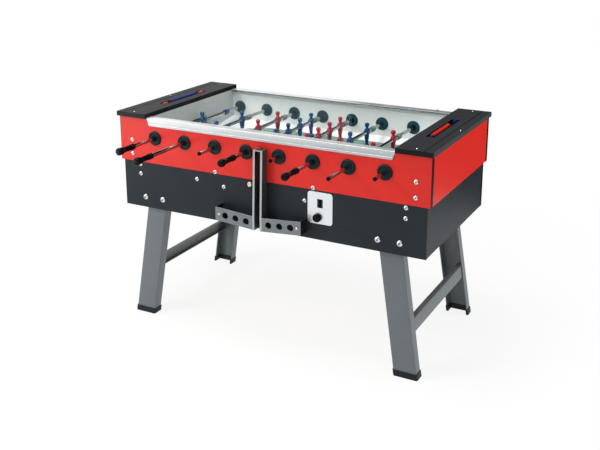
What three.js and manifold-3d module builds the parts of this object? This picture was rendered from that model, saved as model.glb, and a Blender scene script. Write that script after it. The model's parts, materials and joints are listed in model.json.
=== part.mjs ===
// Coin-operated foosball table with a glass cover: a red playing box on a black base,
// eight rods with eleven men a side, splayed channel legs and a steel guard in front.
// Millimetres. X runs along the table, +Y is the far side, +Z is up, and the origin is
// on the floor under the middle of the table.

import * as THREE from 'three'
import { mergeVertices } from 'three/addons/utils/BufferGeometryUtils.js'
import Module from 'manifold-3d'

const wasm = await Module()
wasm.setup()

// ---------------------------------------------------------------- driving sizes

const CLEAR = 0.3            // gap between pieces that meet on a curved or sloping face

const ROD_PITCH = 150
const ROD_HEIGHT = 826
const ROD_R = 8

const MAN_HEAD = 36          // top of the head above the rod
const MAN_SOLE = 72          // sole below the rod
const BOOT_LENGTH = 24
const BOOT_WIDTH = 25
const SHOULDER_WIDTH = 32
const CHEST_DEPTH = 24
const SOLE_GAP = 4           // between a sole and the playfield
const SWING_ROOM = 1.2       // between a raised boot and the glass

const PLAY_WIDTH = 670       // between the long walls
const GOALIE_ROOM = 41       // from a goalkeeper's rod to the goal wall
const PANEL = 20
const END_RECESS = 1         // end panels sit back between the long ones
const BOX_DROP = 113         // bottom of the playing box below the rods
const BASE_HEIGHT = 204.5
const BASE_STEP_X = 13       // the base is a little smaller than the playing box
const BASE_STEP_Y = 3

const TOP_BOARD_THICK = 20
const TOP_BOARD_WIDTH = 149
const TOP_BOARD_OVERHANG = 6.5
const TOP_BOARD_SIDE_OVERHANG = 12
const GROOVE_INSET = 38
const GROOVE_WIDTH = 3
const GROOVE_DEPTH = 1.5

const FIELD_THICK = 16
const RAMP_WIDTH = 45
const RAMP_RISE = 8
const CORNER_REACH = 110
const CORNER_RISE = 14
const GOAL_WALL_THICK = 16
const GOAL_WIDTH = 200
const GOAL_HEIGHT = 76

const GLASS_THICK = 6
const GLASS_DROP = 1.8       // top of the glass below the top edge of the panels
const RAIL_WALL = 3
const RAIL_APRON = 30.5
const RAIL_INNER_REACH = 37
const RAIL_LIP = 2
const RAIL_END_CUT = 13

const BEARING_R = 31
const BEARING_PROUD = 8.5
const BEARING_BEVEL = 4
const BEARING_DISC_R = 30
const BEARING_DISC_THICK = 3
const BUSH_R = 12
const BUSH_PROUD = 1
const STOP_R = 12.5
const STOP_LENGTH = 28
const STOP_ROOM = 1          // left between stop and bush at full travel

const GRIP_LENGTH = 120
const GRIP_R = 17
const GRIP_WAIST_R = 12
const GRIP_COLLAR_R = 15
const GRIP_COLLAR = 26
const GRIP_SEAT = 65         // how far the rod reaches into its grip
const PLUG_DOME = 3

const LEG_WIDTH = 97
const LEG_FLANGE = 43
const LEG_STEEL = 4
const LEG_RISE = 91.5        // length inside the base
const LEG_INSET = 148.5      // from the end of the base to the middle of the leg
const LEG_SPLAY_X = 79.5
const LEG_SPLAY_Y = 12.3
const FOOT_HEIGHT = 25
const FOOT_WALL = 3
const FOOT_SOLE = 5
const BRACE_BOTTOM = 176
const BRACE_HEIGHT = 56
const BRACE_FLANGE = 22
const BRACE_STEEL = 3
const BRACE_END_GAP = 9

const GUARD_DEPTH = 36       // of the uprights at the top
const GUARD_FOOT_DEPTH = 48
const GUARD_WIDTH = 42
const GUARD_BAR = 8.5
const GUARD_DROP = 57        // below the top edge of the panels
const GUARD_SPAN = 394
const GUARD_PLATE = 5
const GUARD_WING_HEIGHT = 56
const GUARD_LIFT = 10        // above the bottom of the base
const GUARD_RISE = 14        // the wings climb this much towards their ends
const GUARD_HOLE_R = 14
const GUARD_HOLE_FIRST = 52
const GUARD_HOLE_PITCH = 49.5
const GUARD_HOLES = 3
const BOSS_X = 180
const BOSS_R = 19

const COIN_X = 257
const COIN_DROP = 72         // middle of the plate below the top of the base
const COIN_WIDTH = 108
const COIN_HEIGHT = 130
const COIN_PLATE = 3
const COIN_CORNER = 14
const THROAT_WIDTH = 25
const THROAT_HEIGHT = 37
const THROAT_LIFT = 19
const SLOT_WIDTH = 6
const SLOT_HEIGHT = 30
const SLOT_DEPTH = 62
const MECH_WIDTH = 72
const MECH_HEIGHT = 114
const MECH_DEPTH = 84
const KNOB_OFFSET_X = -10.5
const KNOB_OFFSET_Z = -39.5
const KNOB_R = 17.5
const KNOB_LENGTH = 22
const KNOB_SHAFT_R = 6

const LOCK_X = -62
const LOCK_DROP = 22
const LOCK_R = 11
const LOCK_BARREL_R = 8
const LOCK_PROUD = 4
const CAM_LENGTH = 32        // reaches up behind the playing box
const CAM_WIDTH = 12
const CAM_THICK = 3

const OUTLET_WIDTH = 200
const OUTLET_HEIGHT = 72
const OUTLET_LIFT = 69.5
const OUTLET_LIP = 16        // keeps the balls on the chute
const FLOOR_THICK = 12
const FLOOR_LIFT = 3.5
const NOTCH_ROOM = 3
const CHUTE_SLOPE = 0.17
const CHUTE_TILT = 0.04
const CHUTE_THICK = 8
const CHUTE_DEPTH = 532

const COUNTER_INSET = 90     // from the end of the board
const COUNTER_LENGTH = 320
const COUNTER_WIDTH = 34
const COUNTER_DEPTH = 14
const BLOCK_LENGTH = 34
const BLOCK_WIDTH = 22
const BLOCK_OVER_WIRE = 7
const WIRE_R = 2.5
const WIRE_DROP = 3          // middle of the wire below the top of the board
const BEAD_R = 8.5
const BEAD_LENGTH = 18.8
const BEAD_COUNT = 10
const BEAD_GROOVE = 1.5

// How the men of a rod are set out, by their number. stop is the middle of the rubber
// stop, play is the running room between grip and bearing at full travel, and tail is
// what the plain end keeps outside its bearing at full travel.
const FORMATIONS = {
  1: { spacing: 0, stop: 199, play: 4, tail: 4 },
  2: { spacing: 216, stop: 162, play: 40, tail: 2 },
  3: { spacing: 177, stop: 236, play: 12, tail: 24 },
  5: { spacing: 109, stop: 262, play: 9, tail: 2 },
}

// Rods from the left goal to the right one. rest is how far each stands off centre.
const RODS = [
  { team: 'blue', men: 1, rest: 3 },
  { team: 'blue', men: 2, rest: -3 },
  { team: 'red', men: 3, rest: -4 },
  { team: 'blue', men: 5, rest: -2 },
  { team: 'red', men: 5, rest: -8 },
  { team: 'blue', men: 3, rest: -13 },
  { team: 'red', men: 2, rest: -11 },
  { team: 'red', men: 1, rest: 30 },
]

// Gap between the near end of a score counter and its first bead.
const BEAD_START = { left: 28, right: 0.3 }

// Number of sides on what is round.
const ROD_SIDES = 12
const BEARING_SIDES = 12
const BEAD_SIDES = 8
const HOLE_SIDES = 12
const KNOB_SIDES = 16
const CORNER_STEPS = 5

// ---------------------------------------------------------------- sizes that follow

const MAN_SWING = Math.hypot(MAN_SOLE, BOOT_LENGTH / 2)
const FIELD_TOP = ROD_HEIGHT - MAN_SOLE - SOLE_GAP
const GLASS_BOTTOM = ROD_HEIGHT + MAN_SWING + SWING_ROOM
const GLASS_TOP = GLASS_BOTTOM + GLASS_THICK
const BOX_TOP = GLASS_TOP + GLASS_DROP
const TABLE_TOP = BOX_TOP + TOP_BOARD_THICK
const BOX_BOTTOM = ROD_HEIGHT - BOX_DROP
const BASE_BOTTOM = BOX_BOTTOM - BASE_HEIGHT

const WALL_Y = PLAY_WIDTH / 2
const BOX_Y = WALL_Y + PANEL
const TOP_Y = BOX_Y + TOP_BOARD_SIDE_OVERHANG
const BASE_Y = BOX_Y - BASE_STEP_Y
const BASE_WALL_Y = BASE_Y - PANEL

const GOAL_X = rodX(RODS.length - 1) + GOALIE_ROOM   // goal walls stand under the boards' edges
const TOP_X = GOAL_X + TOP_BOARD_WIDTH
const BOX_X = TOP_X - TOP_BOARD_OVERHANG
const BASE_X = BOX_X - BASE_STEP_X
const BASE_WALL_X = BASE_X - END_RECESS - PANEL
const FLOOR_BOTTOM = BASE_BOTTOM + FLOOR_LIFT
const OUTLET_BOTTOM = BASE_BOTTOM + OUTLET_LIFT

const BEARING_FACE = BOX_Y + BEARING_PROUD
const STOP_FACE = WALL_Y - BEARING_DISC_THICK - BUSH_PROUD
const BUSH_BORE_R = turningFit(BUSH_R, BEARING_SIDES)
const ROD_BORE_R = turningFit(ROD_R, BEARING_SIDES)

const LEG_TOP_X = BASE_X - LEG_INSET
const LEG_TOP_Y = BASE_WALL_Y - CLEAR
const LEG_FOOT_X = LEG_TOP_X + LEG_SPLAY_X
const LEG_FOOT_Y = LEG_TOP_Y + LEG_SPLAY_Y
const LEG_LEAN_X = -LEG_SPLAY_X / BASE_BOTTOM
const LEG_LEAN_Y = LEG_SPLAY_Y / BASE_BOTTOM

const GUARD_BACK = -BOX_Y - CLEAR
const GUARD_FRONT = GUARD_BACK - GUARD_FOOT_DEPTH
const GUARD_TOP = BOX_TOP - GUARD_DROP
const GUARD_BOTTOM = BASE_BOTTOM + GUARD_LIFT

const COIN_Z = BOX_BOTTOM - COIN_DROP
const COIN_FACE = -BASE_Y - COIN_PLATE
const THROAT_Z = COIN_Z + THROAT_LIFT
const KNOB_X = COIN_X + KNOB_OFFSET_X
const KNOB_Z = COIN_Z + KNOB_OFFSET_Z
const KNOB_HOLE_R = turningFit(KNOB_SHAFT_R, BEARING_SIDES)
const LOCK_Z = BOX_BOTTOM - LOCK_DROP
const LOCK_HOLE_R = turningFit(LOCK_BARREL_R, BEARING_SIDES)

const COUNTER_X = TOP_X - COUNTER_INSET
const COUNTER_FLOOR = TABLE_TOP - COUNTER_DEPTH
const WIRE_Z = TABLE_TOP - WIRE_DROP
const BLOCK_FACE = COUNTER_LENGTH / 2 - BLOCK_LENGTH

function rodX(index) {
  return (index - (RODS.length - 1) / 2) * ROD_PITCH
}

// Corner radius of a many-sided hole in which a shaft of this radius turns.
function turningFit(radius, sides) {
  return (radius + CLEAR) / Math.cos(Math.PI / sides)
}

// ---------------------------------------------------------------- shape helpers

// Merges shared corners and turns the faces outwards, so that any closed shape can be used.
function closed(geometry) {
  const bare = geometry.clone()
  bare.deleteAttribute('normal')
  bare.deleteAttribute('uv')
  const merged = mergeVertices(bare, 1e-3)
  const corners = Array.from(merged.index.array)
  const kept = []
  for (let i = 0; i < corners.length; i += 3) {
    const [a, b, c] = corners.slice(i, i + 3)
    if (a !== b && b !== c && a !== c) kept.push(a, b, c)
  }
  if (signedVolume(merged, kept) < 0) kept.reverse()
  merged.setIndex(kept)
  return merged
}

function signedVolume(geometry, corners) {
  const place = geometry.attributes.position
  const points = [new THREE.Vector3(), new THREE.Vector3(), new THREE.Vector3()]
  let volume = 0
  for (let i = 0; i < corners.length; i += 3) {
    points.forEach((point, k) => point.fromBufferAttribute(place, corners[i + k]))
    volume += points[0].dot(points[1].cross(points[2])) / 6
  }
  return volume
}

function toSolid(geometry) {
  const mesh = closed(geometry)
  return new wasm.Manifold(new wasm.Mesh({
    numProp: 3,
    vertProperties: new Float32Array(mesh.attributes.position.array),
    triVerts: new Uint32Array(mesh.index.array),
  }))
}

function fromSolid(solid) {
  const { vertProperties, triVerts } = solid.getMesh()
  const geometry = new THREE.BufferGeometry()
  geometry.setAttribute('position', new THREE.BufferAttribute(new Float32Array(vertProperties), 3))
  geometry.setIndex(Array.from(triVerts))
  return geometry
}

function cut(body, ...tools) {
  return fromSolid(tools.reduce((solid, tool) => solid.subtract(toSolid(tool)), toSolid(body)))
}

function join(...bodies) {
  return fromSolid(bodies.map(toSolid).reduce((solid, other) => solid.add(other)))
}

function box(x0, x1, y0, y1, z0, z1) {
  const shape = new THREE.BoxGeometry(x1 - x0, y1 - y0, z1 - z0)
  return shape.translate((x0 + x1) / 2, (y0 + y1) / 2, (z0 + z1) / 2)
}

// An outline in X and Y, raised from z0 to z1.
function plan(outline, z0, z1) {
  const shape = Array.isArray(outline)
    ? new THREE.Shape(outline.map(([u, v]) => new THREE.Vector2(u, v)))
    : outline
  const settings = { depth: z1 - z0, bevelEnabled: false, curveSegments: CORNER_STEPS }
  return new THREE.ExtrudeGeometry(shape, settings).translate(0, 0, z0)
}

// An outline in Y and Z, drawn out from x0 to x1.
function section(outline, x0, x1) {
  const turn = new THREE.Matrix4().makeBasis(
    new THREE.Vector3(0, 1, 0), new THREE.Vector3(0, 0, 1), new THREE.Vector3(1, 0, 0))
  return plan(outline, x0, x1).applyMatrix4(turn)
}

// An outline in X and Z, drawn out from y0 to y1.
function face(outline, y0, y1) {
  const turn = new THREE.Matrix4().makeBasis(
    new THREE.Vector3(1, 0, 0), new THREE.Vector3(0, 0, 1), new THREE.Vector3(0, 1, 0))
  return plan(outline, y0, y1).applyMatrix4(turn)
}

// A profile of [radius, y] turned about a line along Y through x and z.
function turned(profile, sides, x = 0, z = 0) {
  const points = profile.map(([r, y]) => new THREE.Vector2(r, y))
  return new THREE.LatheGeometry(points, sides).translate(x, 0, z)
}

function bar(radius, y0, y1, sides, x = 0, z = 0) {
  return turned([[0, y0], [radius, y0], [radius, y1], [0, y1]], sides, x, z)
}

function ring(inner, outer, y0, y1, sides) {
  return turned([[inner, y0], [outer, y0], [outer, y1], [inner, y1], [inner, y0]], sides)
}

function mirrored(geometry, axis) {
  return axis === 'x' ? geometry.clone().scale(-1, 1, 1) : geometry.clone().scale(1, -1, 1)
}

// Leans a solid so that it shifts by leanX and leanY for each unit of height.
function leaned(geometry, leanX, leanY) {
  const lean = new THREE.Matrix4().set(
    1, 0, leanX, 0,
    0, 1, leanY, 0,
    0, 0, 1, 0,
    0, 0, 0, 1)
  return geometry.applyMatrix4(lean)
}

function roundedOutline(width, height, radius, cx, cz) {
  const shape = new THREE.Shape()
  const [w, h] = [width / 2 - radius, height / 2 - radius]
  const corners = [[w, -h], [w, h], [-w, h], [-w, -h]]
  corners.forEach(([x, z], k) => {
    const start = (k - 1) * Math.PI / 2
    shape.absarc(cx + x, cz + z, radius, start, start + Math.PI / 2, false)
  })
  return shape
}

// A body through a stack of eight-sided levels, each [z, depth in X, width in Y].
function stacked(levels) {
  const corner = 0.21
  const around = [[0.5, -corner], [0.5, corner], [corner, 0.5], [-corner, 0.5],
    [-0.5, corner], [-0.5, -corner], [-corner, -0.5], [corner, -0.5]]
  const count = around.length
  const positions = levels.flatMap(([z, depth, width]) =>
    around.flatMap(([u, v]) => [u * depth, v * width, z]))
  const corners = []
  for (let level = 0; level + 1 < levels.length; level++) {
    for (let k = 0; k < count; k++) {
      const a = level * count + k
      const b = level * count + (k + 1) % count
      corners.push(a, b, b + count, a, b + count, a + count)
    }
  }
  const last = (levels.length - 1) * count
  for (let k = 1; k + 1 < count; k++) {
    corners.push(0, k + 1, k, last, last + k, last + k + 1)
  }
  const geometry = new THREE.BufferGeometry()
  geometry.setAttribute('position', new THREE.Float32BufferAttribute(positions, 3))
  geometry.setIndex(corners)
  return geometry
}

// ---------------------------------------------------------------- materials

function material(color, roughness, metalness = 0) {
  return new THREE.MeshStandardMaterial({ color, roughness, metalness })
}

const LOOKS = {
  red: material(0xd8322a, 0.4),
  black: material(0x2e3338, 0.5),
  topBoard: material(0x3f4144, 0.55),
  wood: material(0xb89a6c, 0.8),
  field: material(0x5f8a7c, 0.3),
  wall: material(0xc9cfcd, 0.4),
  aluminium: material(0xdce3e6, 0.35, 0.9),
  glass: new THREE.MeshStandardMaterial({
    color: 0xe6f0ec, roughness: 0.05, transparent: true, opacity: 0.3,
  }),
  blackPlastic: material(0x22262b, 0.4),
  nylon: material(0x33373a, 0.5),
  blueMen: material(0x1f5a9c, 0.4),
  redMen: material(0xb8323f, 0.4),
  leg: material(0x7e8689, 0.5, 0.4),
  guard: material(0x8b9295, 0.6, 0.4),
  stainless: material(0xdde2e4, 0.3, 0.9),
  brass: material(0xe9d5b5, 0.3, 0.9),
}

const table = new THREE.Group()
table.name = 'foosball_table'

function piece(name, geometry, look, parent = table) {
  const mesh = new THREE.Mesh(closed(geometry), LOOKS[look])
  mesh.name = name
  parent.add(mesh)
  return mesh
}

// The same piece at both ends, drawn at the right one.
function pieceAtEnds(name, geometry, look) {
  piece(`right_${name}`, geometry, look)
  piece(`left_${name}`, mirrored(geometry, 'x'), look)
}

// The same piece at all four corners, drawn at the front right one.
function pieceAtCorners(name, geometry, look) {
  pieceAtEnds(`front_${name}`, geometry, look)
  pieceAtEnds(`back_${name}`, mirrored(geometry, 'y'), look)
}

// ---------------------------------------------------------------- playing box

// A long side with its eight bearings. side is -1 in front and 1 at the back.
function upperLongPanel(side) {
  const panel = box(-BOX_X, BOX_X, -BOX_Y, -WALL_Y, BOX_BOTTOM, BOX_TOP)
  const bearings = RODS.map((rod, index) => bearing(rodX(index)))
  const bores = RODS.map(({ team }, index) => {
    const holdsBush = (team === 'blue') === (side < 0)
    const radius = holdsBush ? BUSH_BORE_R : ROD_BORE_R
    return bar(radius, -BEARING_FACE - 1, -WALL_Y + BEARING_DISC_THICK + 1, BEARING_SIDES,
      rodX(index), ROD_HEIGHT)
  })
  const near = cut(join(panel, ...bearings), ...bores)
  return side < 0 ? near : mirrored(near, 'y')
}

// A bevelled flange outside the panel and a thin disc inside it.
function bearing(x) {
  const bite = PANEL / 2
  return turned([
    [0, -BEARING_FACE], [BEARING_R - BEARING_BEVEL, -BEARING_FACE],
    [BEARING_R, -BEARING_FACE + BEARING_BEVEL], [BEARING_R, -BOX_Y + bite],
    [BEARING_DISC_R, -BOX_Y + bite], [BEARING_DISC_R, -WALL_Y + BEARING_DISC_THICK],
    [0, -WALL_Y + BEARING_DISC_THICK],
  ], BEARING_SIDES, x, ROD_HEIGHT)
}

function upperEndPanel() {
  const outer = BOX_X - END_RECESS
  return box(outer - PANEL, outer, -WALL_Y, WALL_Y, BOX_BOTTOM, BOX_TOP)
}

function goalWall() {
  const wall = box(GOAL_X, GOAL_X + GOAL_WALL_THICK, -WALL_Y, WALL_Y, FIELD_TOP, BOX_TOP)
  const mouth = box(GOAL_X - 1, GOAL_X + GOAL_WALL_THICK + 1, -GOAL_WIDTH / 2, GOAL_WIDTH / 2,
    FIELD_TOP - 1, FIELD_TOP + GOAL_HEIGHT)
  return cut(wall, mouth)
}

// The board with the sloping strips that bring the ball back from the long walls.
function playfield() {
  const end = GOAL_X + GOAL_WALL_THICK
  const board = box(-end, end, -WALL_Y, WALL_Y, FIELD_TOP - FIELD_THICK, FIELD_TOP)
  const ramp = fieldRamp()
  return join(board, ramp, mirrored(ramp, 'y'))
}

// The strip along a long wall, with its two raised corners.
function fieldRamp() {
  const root = FIELD_TOP - FIELD_THICK / 2
  const strip = section([
    [WALL_Y - RAMP_WIDTH, root], [WALL_Y, root],
    [WALL_Y, FIELD_TOP + RAMP_RISE], [WALL_Y - RAMP_WIDTH, FIELD_TOP],
  ], -GOAL_X, GOAL_X)
  const corner = new THREE.BufferGeometry()
  corner.setAttribute('position', new THREE.Float32BufferAttribute([
    GOAL_X, WALL_Y, root,
    GOAL_X - CORNER_REACH, WALL_Y, FIELD_TOP,
    GOAL_X, WALL_Y - CORNER_REACH, FIELD_TOP,
    GOAL_X, WALL_Y, FIELD_TOP + CORNER_RISE,
  ], 3))
  corner.setIndex([0, 1, 2, 0, 3, 1, 0, 2, 3, 1, 3, 2])
  return join(strip, corner, mirrored(corner, 'x'))
}

// An aluminium section that caps the panel and holds an edge of the glass in its groove.
// Its ends are cut back below the top.
function glassRail() {
  const top = BOX_TOP + RAIL_WALL + CLEAR
  const outer = BOX_Y + RAIL_WALL + CLEAR
  const inner = outer - RAIL_INNER_REACH
  const web = WALL_Y - CLEAR
  const underGlass = GLASS_BOTTOM - CLEAR
  const overGlass = GLASS_TOP + CLEAR
  const rail = section([
    [outer, top - RAIL_APRON - RAIL_WALL], [outer, top], [inner, top], [inner, overGlass],
    [web - RAIL_WALL, overGlass], [web - RAIL_WALL, underGlass], [inner, underGlass],
    [inner, underGlass - RAIL_LIP], [web, underGlass - RAIL_LIP], [web, BOX_TOP + CLEAR],
    [BOX_Y + CLEAR, BOX_TOP + CLEAR], [BOX_Y + CLEAR, top - RAIL_APRON - RAIL_WALL],
  ], -1, 1)
  const place = rail.attributes.position
  for (let i = 0; i < place.count; i++) {
    const depth = (top - place.getZ(i)) / (RAIL_APRON + RAIL_WALL)
    place.setX(i, place.getX(i) * (GOAL_X - CLEAR - RAIL_END_CUT * depth))
  }
  return rail
}

function topBoard() {
  const board = box(GOAL_X, TOP_X, -TOP_Y, TOP_Y, BOX_TOP, TABLE_TOP)
  const grooveX = TOP_X - GROOVE_INSET
  const groove = box(grooveX, grooveX + GROOVE_WIDTH, -TOP_Y - 1, TOP_Y + 1,
    TABLE_TOP - GROOVE_DEPTH, TABLE_TOP + 1)
  const recess = box(COUNTER_X - COUNTER_WIDTH / 2, COUNTER_X + COUNTER_WIDTH / 2,
    -COUNTER_LENGTH / 2, COUNTER_LENGTH / 2, COUNTER_FLOOR, TABLE_TOP + 1)
  return cut(board, groove, recess)
}

// Slid in between the rails, from goal wall to goal wall.
function glassPane() {
  const edge = WALL_Y - RAIL_WALL - 2 * CLEAR
  const end = GOAL_X - CLEAR
  return box(-end, end, -edge, edge, GLASS_BOTTOM, GLASS_TOP)
}

const rail = glassRail()
piece('upper_front_panel', upperLongPanel(-1), 'red')
piece('upper_back_panel', upperLongPanel(1), 'red')
pieceAtEnds('upper_end_panel', upperEndPanel(), 'red')
piece('playfield', playfield(), 'field')
pieceAtEnds('goal_wall', goalWall(), 'wall')
piece('glass_pane', glassPane(), 'glass')
piece('back_glass_rail', rail, 'aluminium')
piece('front_glass_rail', mirrored(rail, 'y'), 'aluminium')
pieceAtEnds('top_board', topBoard(), 'topBoard')

// ---------------------------------------------------------------- base

// The front has the coin unit's throat, holes for its knob and the lock, and the two
// round bosses that carry the ends of the guard.
function lowerFrontPanel() {
  const panel = box(-BASE_X, BASE_X, -BASE_Y, -BASE_WALL_Y, BASE_BOTTOM, BOX_BOTTOM)
  const boss = bar(BOSS_R, GUARD_FRONT + GUARD_PLATE, -BASE_Y + PANEL / 2, HOLE_SIDES,
    BOSS_X, wingMiddle(BOSS_X))
  const throat = box(COIN_X - THROAT_WIDTH / 2, COIN_X + THROAT_WIDTH / 2,
    -BASE_Y - 1, -BASE_WALL_Y + 1,
    THROAT_Z - THROAT_HEIGHT / 2, THROAT_Z + THROAT_HEIGHT / 2)
  const knobHole = bar(KNOB_HOLE_R, -BASE_Y - 1, -BASE_WALL_Y + 1, BEARING_SIDES, KNOB_X, KNOB_Z)
  const lockHole = bar(LOCK_HOLE_R, -BASE_Y - 1, -BASE_WALL_Y + 1, BEARING_SIDES, LOCK_X, LOCK_Z)
  return cut(join(panel, boss, mirrored(boss, 'x')), throat, knobHole, lockHole)
}

// The far panel has the opening where the balls are taken out.
function lowerBackPanel() {
  const panel = box(-BASE_X, BASE_X, BASE_WALL_Y, BASE_Y, BASE_BOTTOM, BOX_BOTTOM)
  const outlet = box(-OUTLET_WIDTH / 2, OUTLET_WIDTH / 2, BASE_WALL_Y - 1, BASE_Y + 1,
    OUTLET_BOTTOM, OUTLET_BOTTOM + OUTLET_HEIGHT)
  return cut(panel, outlet)
}

function lowerEndPanel() {
  return box(BASE_WALL_X, BASE_WALL_X + PANEL, -BASE_WALL_Y, BASE_WALL_Y, BASE_BOTTOM, BOX_BOTTOM)
}

// The bottom board, notched where the legs pass up into the base.
function cabinetFloor() {
  const board = box(-BASE_WALL_X, BASE_WALL_X, -BASE_WALL_Y, BASE_WALL_Y,
    FLOOR_BOTTOM, FLOOR_BOTTOM + FLOOR_THICK)
  const legX = LEG_FOOT_X + LEG_LEAN_X * FLOOR_BOTTOM
  const room = LEG_WIDTH / 2 + NOTCH_ROOM
  const notch = box(legX - room, legX + room, -BASE_WALL_Y - 1, -LEG_TOP_Y + LEG_FLANGE + NOTCH_ROOM,
    FLOOR_BOTTOM - 1, FLOOR_BOTTOM + FLOOR_THICK + 1)
  const leftNotch = mirrored(notch, 'x')
  return cut(board, notch, leftNotch, mirrored(notch, 'y'), mirrored(leftNotch, 'y'))
}

// A shallow vee of board that brings the balls from both goals down to the outlet.
function ballChute() {
  const end = BASE_WALL_X - CLEAR
  const back = BASE_WALL_Y - CLEAR
  const low = OUTLET_BOTTOM - OUTLET_LIP
  const high = low + CHUTE_SLOPE * end
  const vee = face([
    [0, low], [end, high], [end, high - CHUTE_THICK],
    [0, low - CHUTE_THICK], [-end, high - CHUTE_THICK], [-end, high],
  ], back - CHUTE_DEPTH, back)
  const tilt = new THREE.Matrix4().set(
    1, 0, 0, 0,
    0, 1, 0, 0,
    0, -CHUTE_TILT, 1, CHUTE_TILT * back,
    0, 0, 0, 1)
  return vee.applyMatrix4(tilt)
}

piece('lower_front_panel', lowerFrontPanel(), 'black')
piece('lower_back_panel', lowerBackPanel(), 'black')
pieceAtEnds('lower_end_panel', lowerEndPanel(), 'black')
piece('cabinet_floor', cabinetFloor(), 'wood')
piece('ball_chute', ballChute(), 'wood')

// ---------------------------------------------------------------- legs

// The channel's outline with its web at y = 0 and the flanges towards +Y, grown all round.
function channel(grow) {
  const outer = LEG_WIDTH / 2 + grow
  const inner = LEG_WIDTH / 2 - LEG_STEEL - grow
  const tip = LEG_FLANGE + grow
  return [
    [-outer, -grow], [outer, -grow], [outer, tip], [inner, tip],
    [inner, LEG_STEEL + grow], [-inner, LEG_STEEL + grow], [-inner, tip], [-outer, tip],
  ]
}

function atFrontRight(geometry) {
  return leaned(geometry, LEG_LEAN_X, LEG_LEAN_Y).translate(LEG_FOOT_X, -LEG_FOOT_Y, 0)
}

function leg() {
  return atFrontRight(plan(channel(0), FOOT_SOLE + CLEAR, BASE_BOTTOM + LEG_RISE))
}

function foot() {
  const shoe = plan(channel(FOOT_WALL), 0, FOOT_HEIGHT)
  const socket = plan(channel(CLEAR), FOOT_SOLE, FOOT_HEIGHT + 1)
  return atFrontRight(cut(shoe, socket))
}

// A rolled channel from front to back, lying in the outer flanges of both legs.
function legBrace() {
  const web = LEG_WIDTH / 2 - LEG_STEEL - CLEAR
  const tip = web - BRACE_FLANGE
  const reach = LEG_FOOT_Y - LEG_STEEL - BRACE_END_GAP
  const top = BRACE_BOTTOM + BRACE_HEIGHT
  const channelOutline = [
    [web, BRACE_BOTTOM], [web, top], [tip, top], [tip, top - BRACE_STEEL],
    [web - BRACE_STEEL, top - BRACE_STEEL], [web - BRACE_STEEL, BRACE_BOTTOM + BRACE_STEEL],
    [tip, BRACE_BOTTOM + BRACE_STEEL], [tip, BRACE_BOTTOM],
  ]
  return leaned(face(channelOutline, -reach, reach), LEG_LEAN_X, 0).translate(LEG_FOOT_X, 0, 0)
}

pieceAtCorners('leg', leg(), 'leg')
pieceAtCorners('foot', foot(), 'blackPlastic')
pieceAtEnds('leg_brace', legBrace(), 'leg')

// ---------------------------------------------------------------- guard

// Two flat uprights closed at the top, with a drilled wing at the foot of each.
function guard() {
  const half = GUARD_WIDTH / 2
  const wingTop = GUARD_BOTTOM + GUARD_WING_HEIGHT
  const upright = section([
    [GUARD_BACK, GUARD_BOTTOM], [GUARD_BACK, GUARD_TOP], [GUARD_BACK - GUARD_DEPTH, GUARD_TOP],
    [GUARD_FRONT, wingTop], [GUARD_FRONT, GUARD_BOTTOM],
  ], half - GUARD_BAR, half)
  const side = join(upright, guardWing())
  const cap = box(-half, half, GUARD_BACK - GUARD_DEPTH, GUARD_BACK, GUARD_TOP - GUARD_PLATE, GUARD_TOP)
  return join(side, mirrored(side, 'x'), cap)
}

function guardWing() {
  const inner = GUARD_WIDTH / 2 - GUARD_BAR
  const outer = GUARD_SPAN / 2
  const back = GUARD_FRONT + GUARD_PLATE
  const plate = face([
    [inner, GUARD_BOTTOM], [outer, GUARD_BOTTOM + GUARD_RISE],
    [outer, GUARD_BOTTOM + GUARD_RISE + GUARD_WING_HEIGHT], [inner, GUARD_BOTTOM + GUARD_WING_HEIGHT],
  ], GUARD_FRONT, back)
  const holes = Array.from({ length: GUARD_HOLES }, (_, k) => {
    const x = GUARD_HOLE_FIRST + k * GUARD_HOLE_PITCH
    return bar(GUARD_HOLE_R, GUARD_FRONT - 1, back + 1, HOLE_SIDES, x, wingMiddle(x))
  })
  return cut(plate, ...holes)
}

// Height of a wing's middle line at x from the middle of the guard.
function wingMiddle(x) {
  const inner = GUARD_WIDTH / 2 - GUARD_BAR
  const along = (x - inner) / (GUARD_SPAN / 2 - inner)
  return GUARD_BOTTOM + GUARD_WING_HEIGHT / 2 + GUARD_RISE * along
}

piece('guard_bar', guard(), 'guard')

// ---------------------------------------------------------------- coin unit and lock

// A rounded front plate, and behind the panel the housing that its throat leads to.
function coinUnit() {
  const plate = face(roundedOutline(COIN_WIDTH, COIN_HEIGHT, COIN_CORNER, COIN_X, COIN_Z), COIN_FACE, -BASE_Y)
  const inside = -BASE_WALL_Y + CLEAR
  const throatX = THROAT_WIDTH / 2 - CLEAR
  const throatZ = THROAT_HEIGHT / 2 - CLEAR
  const throat = box(COIN_X - throatX, COIN_X + throatX, COIN_FACE + 1, inside + 1,
    THROAT_Z - throatZ, THROAT_Z + throatZ)
  const housing = box(COIN_X - MECH_WIDTH / 2, COIN_X + MECH_WIDTH / 2, inside, inside + MECH_DEPTH,
    COIN_Z - MECH_HEIGHT / 2, COIN_Z + MECH_HEIGHT / 2)
  const slot = box(COIN_X - SLOT_WIDTH / 2, COIN_X + SLOT_WIDTH / 2,
    COIN_FACE - 1, COIN_FACE + SLOT_DEPTH,
    THROAT_Z - SLOT_HEIGHT / 2, THROAT_Z + SLOT_HEIGHT / 2)
  const knobHole = bar(KNOB_HOLE_R, COIN_FACE - 1, inside + PANEL, BEARING_SIDES, KNOB_X, KNOB_Z)
  return cut(join(plate, throat, housing), slot, knobHole)
}

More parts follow.
